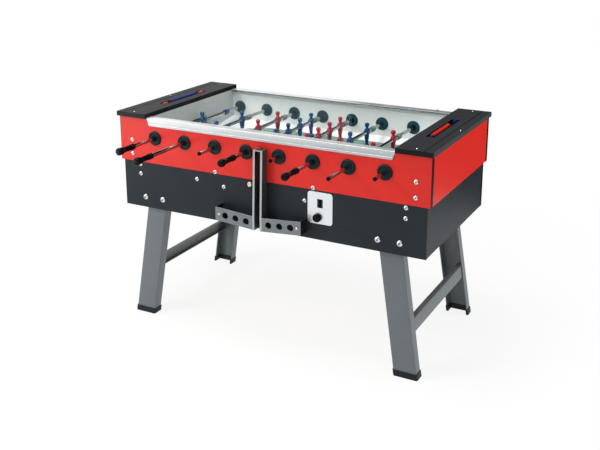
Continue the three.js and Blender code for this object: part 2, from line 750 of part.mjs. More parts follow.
function coinKnob() {
  const back = COIN_FACE - CLEAR
  const nose = back - KNOB_LENGTH
  const bevel = 3
  return turned([
    [0, nose], [KNOB_R - bevel, nose], [KNOB_R, nose + bevel],
    [KNOB_R, back - bevel], [KNOB_R - bevel, back],
    [KNOB_SHAFT_R, back], [KNOB_SHAFT_R, -BASE_WALL_Y + PANEL / 2], [0, -BASE_WALL_Y + PANEL / 2],
  ], KNOB_SIDES, KNOB_X, KNOB_Z)
}

// The lock's cylinder with the cam on its inner end, turned up behind the playing box.
function lockCylinder() {
  const rim = -BASE_Y - CLEAR
  const end = -BASE_WALL_Y + CAM_THICK + CLEAR
  const cylinder = turned([
    [0, rim - LOCK_PROUD + 1], [LOCK_R - 3, rim - LOCK_PROUD],
    [LOCK_R, rim - LOCK_PROUD / 2], [LOCK_R, rim],
    [LOCK_BARREL_R, rim], [LOCK_BARREL_R, end + CAM_THICK], [0, end + CAM_THICK],
  ], HOLE_SIDES, LOCK_X, LOCK_Z)
  const cam = box(LOCK_X - CAM_WIDTH / 2, LOCK_X + CAM_WIDTH / 2, end, end + CAM_THICK,
    LOCK_Z, LOCK_Z + CAM_LENGTH)
  return join(cylinder, cam)
}

piece('coin_unit', coinUnit(), 'stainless')
piece('coin_knob', coinKnob(), 'blackPlastic')
piece('lock_cylinder', lockCylinder(), 'brass')

// ---------------------------------------------------------------- score counters

// Two end blocks in the board's recess, and the wire between them.
function counterFrame() {
  const half = BLOCK_WIDTH / 2
  const block = box(COUNTER_X - half, COUNTER_X + half, BLOCK_FACE, COUNTER_LENGTH / 2,
    COUNTER_FLOOR, WIRE_Z + BLOCK_OVER_WIRE)
  const wire = bar(WIRE_R, -COUNTER_LENGTH / 2 + 1, COUNTER_LENGTH / 2 - 1, BEAD_SIDES, COUNTER_X, WIRE_Z)
  return join(wire, block, mirrored(block, 'y'))
}

// The beads of one counter, pushed together on the wire.
function beadRow(start) {
  const bore = WIRE_R + CLEAR
  const first = -BLOCK_FACE + start
  const outside = Array.from({ length: BEAD_COUNT }, (_, k) => {
    const y = first + k * BEAD_LENGTH
    const end = y + BEAD_LENGTH
    const low = BEAD_R - BEAD_GROOVE
    return [[low, y], [BEAD_R, y + BEAD_GROOVE], [BEAD_R, end - BEAD_GROOVE], [low, end]]
  }).flat()
  const last = first + BEAD_COUNT * BEAD_LENGTH
  return turned([[bore, first], ...outside, [bore, last], [bore, first]], BEAD_SIDES, COUNTER_X, WIRE_Z)
}

pieceAtEnds('counter_frame', counterFrame(), 'blackPlastic')
piece('right_counter_beads', beadRow(BEAD_START.right), 'redMen')
piece('left_counter_beads', mirrored(beadRow(BEAD_START.left), 'x'), 'blueMen')

// ---------------------------------------------------------------- rods

// Sizes of one rod, drawn with its grip towards -Y and standing in the middle of its travel.
function rodSizes(men) {
  const { spacing, stop, play, tail } = FORMATIONS[men]
  const travel = STOP_FACE - STOP_ROOM - STOP_LENGTH / 2 - stop
  return {
    stop,
    places: Array.from({ length: men }, (_, k) => (k - (men - 1) / 2) * spacing),
    gripFace: -(BEARING_FACE + travel + play),
    plainEnd: BEARING_FACE + travel + tail,
  }
}

// Head, neck, shoulders, tapering body and a block of a boot.
function man() {
  return stacked([
    [MAN_HEAD, 10, 10], [MAN_HEAD - 6, 17, 17], [MAN_HEAD - 16, 12, 14],
    [MAN_HEAD - 21, CHEST_DEPTH, SHOULDER_WIDTH], [-12, CHEST_DEPTH, SHOULDER_WIDTH - 2],
    [-MAN_SOLE + 18, 12, 17],
    [-MAN_SOLE + 15, BOOT_LENGTH, BOOT_WIDTH], [-MAN_SOLE, BOOT_LENGTH, BOOT_WIDTH],
  ])
}

// The bar with its men, its two rubber stops and the domed plug in its plain end.
function rodWithMen({ stop, places, gripFace, plainEnd }) {
  const shaft = turned([
    [0, gripFace - GRIP_SEAT], [ROD_R, gripFace - GRIP_SEAT],
    [ROD_R, plainEnd - PLUG_DOME], [ROD_R - PLUG_DOME, plainEnd], [0, plainEnd],
  ], ROD_SIDES)
  const rubber = bar(STOP_R, stop - STOP_LENGTH / 2, stop + STOP_LENGTH / 2, ROD_SIDES)
  const figure = man()
  return join(shaft, rubber, mirrored(rubber, 'y'), ...places.map(y => figure.clone().translate(0, y, 0)))
}

// A tapering handle with a collar, bored to take the end of the rod.
function grip({ gripFace }) {
  const end = gripFace - GRIP_LENGTH
  const boreR = ROD_R + CLEAR
  const boreEnd = gripFace - GRIP_SEAT - CLEAR
  const bevel = 3
  return turned([
    [0, end], [GRIP_R - 2 * bevel, end], [GRIP_R, end + 3 * bevel], [GRIP_R, end + GRIP_LENGTH / 4],
    [GRIP_WAIST_R, gripFace - GRIP_COLLAR], [GRIP_COLLAR_R, gripFace - GRIP_COLLAR + 2],
    [GRIP_COLLAR_R, gripFace - bevel], [GRIP_COLLAR_R - bevel, gripFace],
    [boreR, gripFace], [boreR, boreEnd], [0, boreEnd],
  ], ROD_SIDES)
}

// The nylon bush that turns with the rod in its flange, and lets it slide.
function bush() {
  return ring(ROD_R + CLEAR, BUSH_R, -BEARING_FACE - BUSH_PROUD, -STOP_FACE, ROD_SIDES)
}

RODS.forEach(({ team, men, rest }, index) => {
  const size = rodSizes(men)
  const facesFront = team === 'blue'
  const place = new THREE.Group()
  place.position.set(rodX(index), 0, ROD_HEIGHT)
  place.rotation.z = facesFront ? 0 : Math.PI
  const slid = new THREE.Group()
  slid.position.y = facesFront ? rest : -rest
  table.add(place.add(slid))
  piece(`rod_${index + 1}`, rodWithMen(size), `${team}Men`, slid)
  piece(`rod_${index + 1}_grip`, grip(size), 'blackPlastic', slid)
  piece(`rod_${index + 1}_bush`, bush(), 'nylon', place)
})

export default table
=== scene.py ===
# The looks of a coin-operated foosball table, built round its fixed frame. Metres.
# X runs along the table, +Y is the far side and +Z is up.

import json
import math

import bpy
import bmesh
from bpy.props import FloatProperty, FloatVectorProperty, IntProperty, PointerProperty
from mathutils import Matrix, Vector


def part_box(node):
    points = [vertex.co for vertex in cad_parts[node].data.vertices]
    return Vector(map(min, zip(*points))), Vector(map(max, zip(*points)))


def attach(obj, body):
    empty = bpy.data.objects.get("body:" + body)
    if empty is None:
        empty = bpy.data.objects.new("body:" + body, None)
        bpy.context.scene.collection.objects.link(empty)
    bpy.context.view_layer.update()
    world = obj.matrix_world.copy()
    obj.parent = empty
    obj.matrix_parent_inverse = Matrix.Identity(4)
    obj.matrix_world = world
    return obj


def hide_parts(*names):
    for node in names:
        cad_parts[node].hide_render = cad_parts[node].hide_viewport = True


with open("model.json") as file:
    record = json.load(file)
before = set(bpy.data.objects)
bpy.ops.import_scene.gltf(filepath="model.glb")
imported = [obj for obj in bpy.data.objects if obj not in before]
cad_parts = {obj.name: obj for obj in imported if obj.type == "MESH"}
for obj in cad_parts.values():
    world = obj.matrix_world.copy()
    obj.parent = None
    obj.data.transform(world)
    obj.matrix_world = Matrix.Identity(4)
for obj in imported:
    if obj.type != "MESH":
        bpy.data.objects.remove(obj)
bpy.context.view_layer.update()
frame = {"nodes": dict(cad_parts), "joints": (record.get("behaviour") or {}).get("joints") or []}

bl_info = {
    "name": "Foosball table",
    "version": (1, 0, 0),
    "blender": (4, 5, 0),
    "location": "3D View > Sidebar > Foosball table",
    "description": "Builds the boards, fittings, rods and finishes of a coin-operated foosball table",
    "category": "Add Mesh",
}

MM = 0.001
ENDS = (("left", -1), ("right", 1))
SIDES = (("front", -1), ("back", 1))
MEN_ON_ROD = (1, 2, 3, 5, 5, 3, 2, 1)

BOARD_EDGE = 0.8 * MM           # rounding on the edges of most boards
BORE_SHARE = 0.7                # the holes for the bearings, as a share of the disc's radius
SPIGOT_SHARE = 0.69             # the spigots in them
GUARD_WING = 56 * MM            # height of the guard's drilled wings
GUARD_RISE = 14 * MM            # how far the wings climb from the middle to their ends
GUARD_SCREW_X = 180 * MM        # the screws and spacers at the ends of the wings
GUARD_SCREW_SHARE = 0.908       # the share of the rise that is reached there


# ---------------------------------------------------------------- sizes from the frame

def middle(node):
    low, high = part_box(node)
    return (low + high) / 2


def guard_screw_height():
    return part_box("guard_bar")[0].z + GUARD_WING / 2 + GUARD_RISE * GUARD_SCREW_SHARE


def base_face():
    """How far the base's long faces lie from the middle of the table."""
    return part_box("lower_back_panel")[1].y


class Rod:
    """A rod's axis, bush and handle, and how far it slides."""

    def __init__(self, number, men):
        self.number, self.men, self.name = number, men, f"rod_{number}"
        self.body = self.name + "_sliding"
        self.low, self.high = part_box(self.name)
        self.bush_low, self.bush_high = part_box(self.name + "_bush")
        self.grip_low, self.grip_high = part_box(self.name + "_grip")
        axis = (self.bush_low + self.bush_high) / 2
        self.x, self.z = axis.x, axis.z
        # -1 where the rod is played from the near side, 1 where from the far side
        self.side = -1 if self.grip_low.y + self.grip_high.y < 0 else 1
        joint = next(j for j in frame["joints"] if j["name"] == self.name + "_slide")
        shortest, longest = joint["range_m"]
        self.offset, self.travel = -(shortest + longest) / 2, (longest - shortest) / 2


RODS = [Rod(number, men) for number, men in enumerate(MEN_ON_ROD, start=1)]


# ---------------------------------------------------------------- sizes and colours a user changes

def length(name, description, mm):
    return FloatProperty(name=name, description=description, default=mm * MM,
                         min=0.0, subtype="DISTANCE", unit="LENGTH")


def linear(code):
    """The linear colour of an sRGB hex value."""
    channels = [int(code[i:i + 2], 16) / 255 for i in (1, 3, 5)]
    return tuple(c / 12.92 if c <= 0.04045 else ((c + 0.055) / 1.055) ** 2.4
                 for c in channels) + (1.0,)


def colour(name, description, code):
    return FloatVectorProperty(name=name, description=description, subtype="COLOR", size=3,
                               min=0.0, max=1.0, default=linear(code)[:3])


class TableSizes(bpy.types.PropertyGroup):
    board_thick: length("Board thickness", "Thickness of the side boards", 20)
    edging: length("Edging", "Thickness of the strips on the ends of the long boards", 2)
    groove_inset: length("Groove inset", "From the outer edge of a top board to its groove", 38)
    groove_width: length("Groove width", "Width of the groove in a top board", 3)
    groove_depth: length("Groove depth", "Depth of the groove in a top board", 1.5)
    rail_wall: length("Rail wall", "Wall of the aluminium rails", 3)
    rail_end_cut: length("Rail end cut", "How far the lower edge of a rail is cut back", 13)
    bearing_radius: length("Bearing radius", "Radius of the outer flange of a bearing", 31)
    bearing_proud: length("Bearing height", "How far a bearing stands off its board", 8.5)
    bearing_disc: length("Bearing disc", "Radius of the disc inside the board", 30)
    rod_radius: length("Rod radius", "Radius of the rods", 8)
    bush_radius: length("Bush radius", "Radius of the bush that turns in a bearing", 12)
    stop_radius: length("Stop radius", "Radius of the rubber stops", 12.5)
    stop_length: length("Stop length", "Length of the rubber stops", 28)
    spacing_two: length("Two-man spacing", "From man to man on a rod of two", 216)
    spacing_three: length("Three-man spacing", "From man to man on a rod of three", 177)
    spacing_five: length("Five-man spacing", "From man to man on a rod of five", 109)
    bolt_head: length("Bolt head", "Diameter of the round bolt heads on the sides", 19)
    leg_bolt_head: length("Leg bolt head", "Diameter of the bolt heads that hold the legs", 25)
    screw_head: length("Screw head", "Diameter of the small screw heads", 7)
    leg_bend: length("Leg bend", "Outer radius of the bends in the leg channels", 6)
    leg_width: length("Leg width", "Width of a leg channel", 97)
    leg_flange: length("Leg flange", "Depth of a leg channel", 43)
    leg_steel: length("Leg steel", "Thickness of the leg channels", 4)
    bead_length: length("Bead length", "Length of one score bead", 18.8)
    beads: IntProperty(name="Beads", description="Number of score beads at each end", default=10, min=1)
    wear_seed: IntProperty(name="Seed", description="Turns the bolt recesses at random", default=7)


class TableColours(bpy.types.PropertyGroup):
    red_board: colour("Playing box", "Laminate of the playing box", "#D6261C")
    black_board: colour("Base", "Laminate of the base", "#262C31")
    top_board: colour("Top boards", "Laminate of the top boards", "#323436")
    field: colour("Field", "Playing surface", "#4F8070")
    inner_wall: colour("Inner walls", "Laminate inside the playing box", "#F1F4F2")
    blue_men: colour("Blue men", "Plastic of the blue team", "#0B4A80")
    red_men: colour("Red men", "Plastic of the red team", "#B4253C")
    leg_paint: colour("Leg paint", "Powder coat of the legs", "#656C70")
    guard_paint: colour("Guard paint", "Hammered paint of the guard", "#757C7F")
    blue_fittings: colour("Blue fittings", "Plastic of the blue score counter", "#152A6C")
    red_fittings: colour("Red fittings", "Plastic of the red score counter", "#C92420")


# ---------------------------------------------------------------- shaping

def skin(shape, rings, capped=True, looped=False):
    """Joins rings of points with faces, one ring to the next."""
    rows = [[shape.verts.new(point) for point in ring] for ring in rings]
    if looped:
        rows.append(rows[0])
    for near, far in zip(rows, rows[1:]):
        for k in range(len(near)):
            n = (k + 1) % len(near)
            shape.faces.new((near[k], near[n], far[n], far[k]))
    if capped and not looped:
        shape.faces.new(rows[0][::-1])
        shape.faces.new(rows[-1])


def circle(cx, cy, radius, sides=40):
    angles = [2 * math.pi * k / sides for k in range(sides)]
    return [(cx + radius * math.cos(a), cy + radius * math.sin(a)) for a in angles]


def turned(shape, profile, sides, x=0.0, z=0.0, start=0.0, way=1, looped=False):
    """Turns [radius, y] points, in millimetres, about a line along Y. Their y runs from start, back where
    way is -1."""
    skin(shape, [[(u, start + way * y * MM, v) for u, v in circle(x, z, radius * MM, sides)]
                 for radius, y in profile], looped=looped)


def both_ends(rim, span):
    """A profile with the same rim at both ends."""
    return rim + [(radius, span - y) for radius, y in reversed(rim)]


def slab(shape, corner, opposite):
    (x0, x1), (y0, y1), (z0, z1) = (sorted(pair) for pair in zip(corner, opposite))
    skin(shape, [[(x, y, z) for x, y in rectangle(x0, x1, y0, y1)] for z in (z0, z1)])


def board(shape, outline, holes, near, far, place):
    """A flat board with holes. place(u, v, w) puts a point of its face at depth w."""
    flat = bmesh.new()
    edges = []
    for loop in [outline, *holes]:
        corners = [flat.verts.new((u, v, 0)) for u, v in loop]
        edges += [flat.edges.new((a, b)) for a, b in zip(corners, corners[1:] + corners[:1])]
    filled = bmesh.ops.triangle_fill(flat, use_beauty=True, edges=edges)
    flat.verts.index_update()
    triangles = [[v.index for v in f.verts] for f in filled["geom"] if isinstance(f, bmesh.types.BMFace)]
    points = [v.co.copy() for v in flat.verts]
    walls = [[v.index for v in e.verts] for e in edges if e.is_valid]
    flat.free()
    if not triangles:
        raise RuntimeError("a board's outline couldn't be filled")
    front, back = ([shape.verts.new(place(p.x, p.y, depth)) for p in points] for depth in (near, far))
    for corners in triangles:
        shape.faces.new([front[i] for i in corners])
        shape.faces.new([back[i] for i in reversed(corners)])
    for a, b in walls:
        shape.faces.new((front[a], front[b], back[b], back[a]))


def in_xz(u, v, w):
    return (u, w, v)


def in_yz(u, v, w):
    return (w, u, v)


def rectangle(x0, x1, y0, y1):
    return [(x0, y0), (x1, y0), (x1, y1), (x0, y1)]


def rounded(points, radius, steps=5):
    """An outline with its corners rounded. radius is one number, or one for each corner."""
    count = len(points)
    radii = radius if isinstance(radius, (list, tuple)) else [radius] * count
    outline = []
    for k, r in enumerate(radii):
        corner = Vector(points[k])
        if r <= 0:
            outline.append(tuple(corner))
            continue
        before, after = Vector(points[k - 1]) - corner, Vector(points[(k + 1) % count]) - corner
        reach = min(r / math.tan(before.angle(after) / 2), before.length * 0.49, after.length * 0.49)
        start, end = corner + before.normalized() * reach, corner + after.normalized() * reach
        for s in range(steps + 1):
            t = s / steps
            outline.append(tuple((1 - t) ** 2 * start + 2 * t * (1 - t) * corner + t ** 2 * end))
    return outline


def channel(width, depth, steel, bend, grow=0.0):
    """The section of a folded channel, its web at v = 0. grow makes it that much fatter all round."""
    outer, inner, foot = width / 2 + grow, width / 2 - steel - grow, depth + grow
    tip = 0.6 * MM
    inside = max(bend - steel, tip)
    return rounded(
        [(-outer, -grow), (outer, -grow), (outer, foot), (inner, foot), (inner, steel + grow),
         (-inner, steel + grow), (-inner, foot), (-outer, foot)],
        [bend + grow, bend + grow, tip, tip, inside, inside, tip, tip])


def relief(shape, xs, ys, height, bottom):
    """A board made of cells, each as high as height(column, row) says."""
    columns, rows = len(xs) - 1, len(ys) - 1

    def corner(i, j, z):
        return shape.verts.new((xs[i], ys[j], z))

    def wall(i0, j0, i1, j1, z0, z1):
        if abs(z1 - z0) > 1e-7:
            shape.faces.new((corner(i0, j0, z0), corner(i1, j1, z0), corner(i1, j1, z1), corner(i0, j0, z1)))

    for i in range(columns):
        for j in range(rows):
            z = height(i, j)
            for level in (z, bottom):
                shape.faces.new((corner(i, j, level), corner(i + 1, j, level), corner(i + 1, j + 1, level),
                                 corner(i, j + 1, level)))
            if i == 0:
                wall(i, j, i, j + 1, bottom, z)
            wall(i + 1, j, i + 1, j + 1, bottom if i + 1 == columns else height(i + 1, j), z)
            if j == 0:
                wall(i, j, i + 1, j, bottom, z)
            wall(i, j + 1, i + 1, j + 1, bottom if j + 1 == rows else height(i, j + 1), z)


def closed(shape):
    """Merges doubled points and turns all faces outwards."""
    bmesh.ops.remove_doubles(shape, verts=shape.verts, dist=2e-6)
    bmesh.ops.recalc_face_normals(shape, faces=shape.faces)


def painted(shape, rule):
    """Gives each face the finish number that rule(centre, normal) says."""
    closed(shape)
    shape.normal_update()
    for face in shape.faces:
        face.material_index = rule(face.calc_center_median(), face.normal)


def mesh_of(shape, name):
    closed(shape)
    mesh = bpy.data.meshes.new(name)
    shape.to_mesh(mesh)
    shape.free()
    return mesh


def shown(name, data):
    thing = bpy.data.objects.new(name, data)
    bpy.context.scene.collection.objects.link(thing)
    return thing


def made(shape, name, recipes, **ties):
    """Turns a shape into a piece of the table with the finishes of recipes. ties go to fitted as they are."""
    mesh = mesh_of(shape, name)
    for recipe in recipes:
        mesh.materials.append(finish_of(recipe))
    return fitted(mesh, name, **ties)


def fitted(mesh, name, body="cabinet", stands_for=None, slot=None, edge=0.0, crease=32.0):
    """Makes a mesh a piece that rides on a body. Its edges are rounded, or sharp where they crease."""
    mesh.polygons.foreach_set("use_smooth", [True] * len(mesh.polygons))
    piece = shown(name, mesh)
    if edge:
        rounding = piece.modifiers.new("Rounded edges", "BEVEL")
        rounding.width = edge
        rounding.segments = 2
        rounding.limit_method = "ANGLE"
        rounding.angle_limit = math.radians(35)
        rounding.harden_normals = True
    else:
        mesh.set_sharp_from_angle(angle=math.radians(crease))
    if stands_for:
        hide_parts(stands_for)
    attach(piece, body)
    return piece


def panel_board(node, recipe, slot):
    """A plain board that fills its node's box."""
    shape = bmesh.new()
    slab(shape, *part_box(node))
    made(shape, node + "_board", [recipe], stands_for=node, slot=slot, edge=BOARD_EDGE)


# ---------------------------------------------------------------- what repeats

def add(tree, kind, inputs=None, **settings):
    """Adds a node. An input is given by name or number, as a value, or a socket or node to link."""
    node = tree.nodes.new(kind)
    for key, value in settings.items():
        setattr(node, key, value)
    for key, value in (inputs or {}).items():
        if isinstance(value, bpy.types.Node):
            value = next(socket for socket in value.outputs if socket.enabled)
        if isinstance(value, bpy.types.NodeSocket):
            tree.links.new(value, node.inputs[key])
        else:
            node.inputs[key].default_value = value
    return node


def new_tree(name, sockets):
    tree = bpy.data.node_groups.new(name, "GeometryNodeTree")
    for way in ("OUTPUT", "INPUT"):
        tree.interface.new_socket("Geometry", in_out=way, socket_type="NodeSocketGeometry")
    for label, kind in sockets.items():
        tree.interface.new_socket(label, in_out="INPUT", socket_type="NodeSocket" + kind)
    return tree, tree.nodes.new("NodeGroupInput").outputs


def finish_tree(tree, instances, finish):
    real = add(tree, "GeometryNodeRealizeInstances", {0: instances})
    coated = add(tree, "GeometryNodeSetMaterial", {"Geometry": real.outputs[0], "Material": finish})
    add(tree, "NodeGroupOutput", {0: coated.outputs[0]})
    return tree


def row_tree():
    """Sets copies of one piece in a row, a fixed pitch apart."""
    tree, given = new_tree("Pieces in a row", {
        "Piece": "Object", "Count": "Int", "First": "Vector", "Pitch": "Vector", "Turn": "Rotation",
        "Finish": "Material"})
    line = add(tree, "GeometryNodeMeshLine", {
        "Count": given["Count"], "Start Location": given["First"], "Offset": given["Pitch"]})
    piece = add(tree, "GeometryNodeObjectInfo", {"Object": given["Piece"]})
    copies = add(tree, "GeometryNodeInstanceOnPoints", {
        "Points": line.outputs["Mesh"], "Instance": piece.outputs["Geometry"], "Rotation": given["Turn"]})
    return finish_tree(tree, copies.outputs[0], given["Finish"])


def heads_tree():
    """Sets a bolt head on each point, facing along the point's own direction."""
    tree, given = new_tree("Heads on points", {
        "Head": "Object", "Diameter": "Float", "Seed": "Int", "Finish": "Material"})
    facing = add(tree, "GeometryNodeInputNamedAttribute", {"Name": "facing"}, data_type="FLOAT_VECTOR")
    aligned = add(tree, "FunctionNodeAlignRotationToVector", {"Vector": facing.outputs["Attribute"]}, axis="Z")
    turn = add(tree, "FunctionNodeRandomValue", {"Max": (0.0, 0.0, 3.14), "Seed": given["Seed"]},
               data_type="FLOAT_VECTOR")
    spin = add(tree, "FunctionNodeEulerToRotation", {0: turn.outputs["Value"]})
    both = add(tree, "FunctionNodeRotateRotation", {
        "Rotation": aligned.outputs[0], "Rotate By": spin.outputs[0]}, rotation_space="LOCAL")
    head = add(tree, "GeometryNodeObjectInfo", {"Object": given["Head"]})
    copies = add(tree, "GeometryNodeInstanceOnPoints", {
        "Points": given["Geometry"], "Instance": head.outputs["Geometry"],
        "Rotation": both.outputs[0], "Scale": given["Diameter"]})
    return finish_tree(tree, copies.outputs[0], given["Finish"])


def grown(name, build, base, inputs):
    """The plain mesh that a tree makes from a base mesh. build makes the tree the first time."""
    tree = bpy.data.node_groups.get(name) or build()
    holder = shown("grown", base)
    modifier = holder.modifiers.new("Made", "NODES")
    modifier.node_group = tree
    sockets = {s.name: s.identifier for s in tree.interface.items_tree
               if s.item_type == "SOCKET" and s.in_out == "INPUT"}
    for label, value in inputs.items():
        modifier[sockets[label]] = value
    holder.update_tag()
    bpy.context.view_layer.update()
    evaluated = holder.evaluated_get(bpy.context.evaluated_depsgraph_get())
    mesh = bpy.data.meshes.new_from_object(evaluated)
    holder.modifiers.clear()
    bpy.data.objects.remove(holder)
    if not mesh.polygons:
        raise RuntimeError(f"{tree.name} made nothing")
    return mesh


def row_of(master, count, first, pitch, recipe, turn=(0, 0, 0)):
    return grown("Pieces in a row", row_tree, bpy.data.meshes.new("empty"), {
        "Piece": master, "Count": count, "First": first, "Pitch": pitch, "Turn": turn,
        "Finish": finish_of(recipe)})


def heads(name, head, places, diameter, recipe, slot):
    """Bolt or screw heads at places, each a point and the way it faces."""
    base = bpy.data.meshes.new(name + "_places")
    base.from_pydata([point for point, _ in places], [], [])
    facing = base.attributes.new("facing", "FLOAT_VECTOR", "POINT")
    facing.data.foreach_set("vector", [c for _, way in places for c in way])
    mesh = grown("Heads on points", heads_tree, base, {
        "Head": head, "Diameter": diameter, "Seed": bpy.context.scene.table_sizes.wear_seed,
        "Finish": finish_of(recipe)})
    fitted(mesh, name, slot=slot, crease=40)


def pattern(shape, name):
    """A piece that is only copied, and removed afterwards."""
    return shown(name, mesh_of(shape, name))


def upright(name, profile, sides, sunk=lambda x, y, radius: 0.0):
    """A pattern turned about Z from [radius, z] points."""
    shape = bmesh.new()
    skin(shape, [[(x, y, z - sunk(x, y, radius)) for x, y in circle(0, 0, radius, sides)]
                 for radius, z in profile])
    return pattern(shape, name)


def round_head():
    """A mushroom bolt head of unit diameter, on a thin washer face."""
    return upright("mushroom_head", [(0.5, -0.02), (0.5, 0.05), (0.47, 0.09), (0.41, 0.15), (0.33, 0.205),
                                     (0.23, 0.245), (0.12, 0.267), (0.04, 0.272)], 24)


def hexagon_socket():
    """The hexagon sunk in a bolt head of unit diameter, dark for the painted shade in the recess."""
    return upright("hexagon_socket", [(0.21, 0.15), (0.21, 0.27)], 6)


def cross_head():
    """A pan head of unit diameter with a cross recess."""
    reach, half_width, depth = 0.3, 0.055, 0.16

    def sunk(x, y, radius):
        return depth if radius < reach and min(abs(x), abs(y)) < half_width else 0.0

    return upright("cross_head", [(0.5, -0.05), (0.5, 0.1), (0.46, 0.2), (0.36, 0.27), (0.27, 0.29), (0.18, 0.3),
                                  (0.09, 0.3), (0.03, 0.3)], 24, sunk)


# ---------------------------------------------------------------- finishes

def shade(base, factor):
    return tuple(min(1.0, c * factor) for c in base[:3]) + (1.0,)


def tones(base, low, high):
    return shade(base, low), shade(base, high)


def chosen(name):
    """A colour that the user sets."""
    return (*getattr(bpy.context.scene.table_colours, name), 1.0)


_finishes = {}


def finish_of(recipe):
    """Each finish is made once and shared."""
    if recipe.__name__ not in _finishes:
        _finishes[recipe.__name__] = recipe()
    return _finishes[recipe.__name__]


def refinish(node, recipe):
    """A frame node that keeps its own shape gets a finish."""
    mesh = frame["nodes"][node].data
    mesh.materials.clear()
    mesh.materials.append(finish_of(recipe))


def new_finish(name):
    """An empty finish, its tree and the frame's own coordinates."""
    finish = bpy.data.materials.new(name)
    finish.use_nodes = True
    tree = finish.node_tree
    tree.nodes.clear()
    return finish, tree, add(tree, "ShaderNodeTexCoord").outputs["Object"]


def surfaced(finish, inputs):
    """Ends a finish in its surface."""
    shader = add(finish.node_tree, "ShaderNodeBsdfPrincipled", inputs)
    add(finish.node_tree, "ShaderNodeOutputMaterial", {"Surface": shader})
    return finish


def mottled(name, colours, cloud, sheen, spread=(0.3, 0.7), relief=None, fine=None, stretch=None, inputs=None):
    """A finish that drifts between two colours with a cloud, given as its size in millimetres and its detail.
    sheen is its roughness, or the range of it as the cloud goes over spread, and relief is a depth in
    millimetres and a strength. Both follow the fine cloud where there is one. stretch draws the clouds out."""
    finish, tree, place = new_finish(name)
    if stretch:
        place = add(tree, "ShaderNodeMapping", {"Vector": place, "Scale": stretch})
    clouds = [add(tree, "ShaderNodeTexNoise", {"Vector": place, "Scale": 1 / (size * MM), "Detail": detail})
              for size, detail in ([cloud, fine] if fine else [cloud])]
    inputs = {"Base Color": colours, "Roughness": sheen, **(inputs or {})}
    if len(colours) == 2:
        inputs["Base Color"] = add(tree, "ShaderNodeMix", {0: clouds[0], 6: colours[0], 7: colours[1]},
                                   data_type="RGBA")
    if isinstance(sheen, tuple):
        inputs["Roughness"] = add(tree, "ShaderNodeMapRange", {
            "Value": clouds[-1], "From Min": spread[0], "From Max": spread[1], "To Min": sheen[0],
            "To Max": sheen[1]})
    if relief:
        inputs["Normal"] = add(tree, "ShaderNodeBump", {
            "Height": clouds[-1], "Distance": relief[0] * MM, "Strength": relief[1]})
    return surfaced(finish, inputs)


def laminate(name, base, roughness, gloss, clouding):
    # High-pressure laminate, pressed on a pearl plate: an even colour with faint clouding and
    # a soft sheen that breaks up a little. The pearl is 0.4 mm in life and drawn coarser.
    return mottled(name, tones(base, 1 - clouding, 1 + clouding), cloud=(140, 2), fine=(1.6, 2),
                   sheen=(roughness - 0.04, roughness + 0.05), relief=(0.06, 0.35),
                   inputs={"Specular IOR Level": gloss})


def red_laminate():
    return laminate("Red high-pressure laminate", chosen("red_board"), 0.34, 0.26, clouding=0.05)


def black_laminate():
    return laminate("Anthracite high-pressure laminate", chosen("black_board"), 0.42, 0.12, clouding=0.08)


def wall_laminate():
    return laminate("Pale grey inner laminate", chosen("inner_wall"), 0.3, 0.2, clouding=0.02)


def shaded_goal_laminate():
    # Painted shade: the goal walls take the inner laminate darkened, as they face away from the lamps.
    return laminate("Light grey goal wall laminate", shade(chosen("inner_wall"), 0.72), 0.3, 0.2, clouding=0.03)


def top_laminate():
    # Grained anti-scratch laminate: fine dark pits along the board and rubbed pale marks.
    dark, light = tones(chosen("top_board"), 0.78, 1.22)
    finish, tree, place = new_finish("Grained dark grey laminate")
    along = add(tree, "ShaderNodeMapping", {"Vector": place, "Scale": (1, 0.18, 1)})
    fibres = add(tree, "ShaderNodeTexNoise", {"Vector": along, "Scale": 1 / (2.2 * MM), "Detail": 4})
    grain = add(tree, "ShaderNodeMix", {0: fibres, 6: dark, 7: light}, data_type="RGBA")
    rubbed = add(tree, "ShaderNodeTexNoise", {"Vector": place, "Scale": 1 / (60 * MM), "Detail": 4})
    worn = add(tree, "ShaderNodeMapRange", {"Value": rubbed, "From Min": 0.55, "From Max": 0.75, "To Max": 0.22})
    tone = add(tree, "ShaderNodeMix", {0: worn, 6: grain, 7: linear("#34373A")}, data_type="RGBA")
    sheen = add(tree, "ShaderNodeMapRange", {
        "Value": fibres, "From Min": 0.3, "From Max": 0.7, "To Min": 0.26, "To Max": 0.4})
    pits = add(tree, "ShaderNodeBump", {"Height": fibres, "Distance": 0.12 * MM, "Strength": 0.5})
    return surfaced(finish, {"Base Color": tone, "Roughness": sheen, "Specular IOR Level": 0.008, "Normal": pits})


def edging(name, base):
    # Extruded ABS edging: a plain black strip, a little glossier than the boards.
    return mottled(name, tones(base, 0.85, 1.2), cloud=(6, 3), sheen=(0.32, 0.46),
                   inputs={"Specular IOR Level": 0.15})


def edging_plastic():
    return edging("Black ABS edging", linear("#131112"))


def highlighted_edging():
    # Painted sheen: the outermost edges are a paler grey.
    return edging("Rubbed black ABS edging", linear("#43474A"))


def field_laminate():
    # Glossy laminate, worn a little by the balls: even green with broad faint patches.
    dark, light = tones(chosen("field"), 0.92, 1.08)
    finish, tree, place = new_finish("Green playing laminate")
    wear = add(tree, "ShaderNodeTexNoise", {"Vector": place, "Scale": 1 / (90 * MM), "Detail": 5})
    tone = add(tree, "ShaderNodeMix", {0: wear, 6: dark, 7: light}, data_type="RGBA")
    sheen = add(tree, "ShaderNodeMapRange", {
        "Value": wear, "From Min": 0.35, "From Max": 0.7, "To Min": 0.18, "To Max": 0.3})
    pearl = add(tree, "ShaderNodeTexNoise", {"Vector": place, "Scale": 1 / (1.5 * MM), "Detail": 2})
    pressed = add(tree, "ShaderNodeBump", {"Height": pearl, "Distance": 0.03 * MM, "Strength": 0.3})
    return surfaced(finish, {"Base Color": tone, "Roughness": sheen, "Normal": pressed})


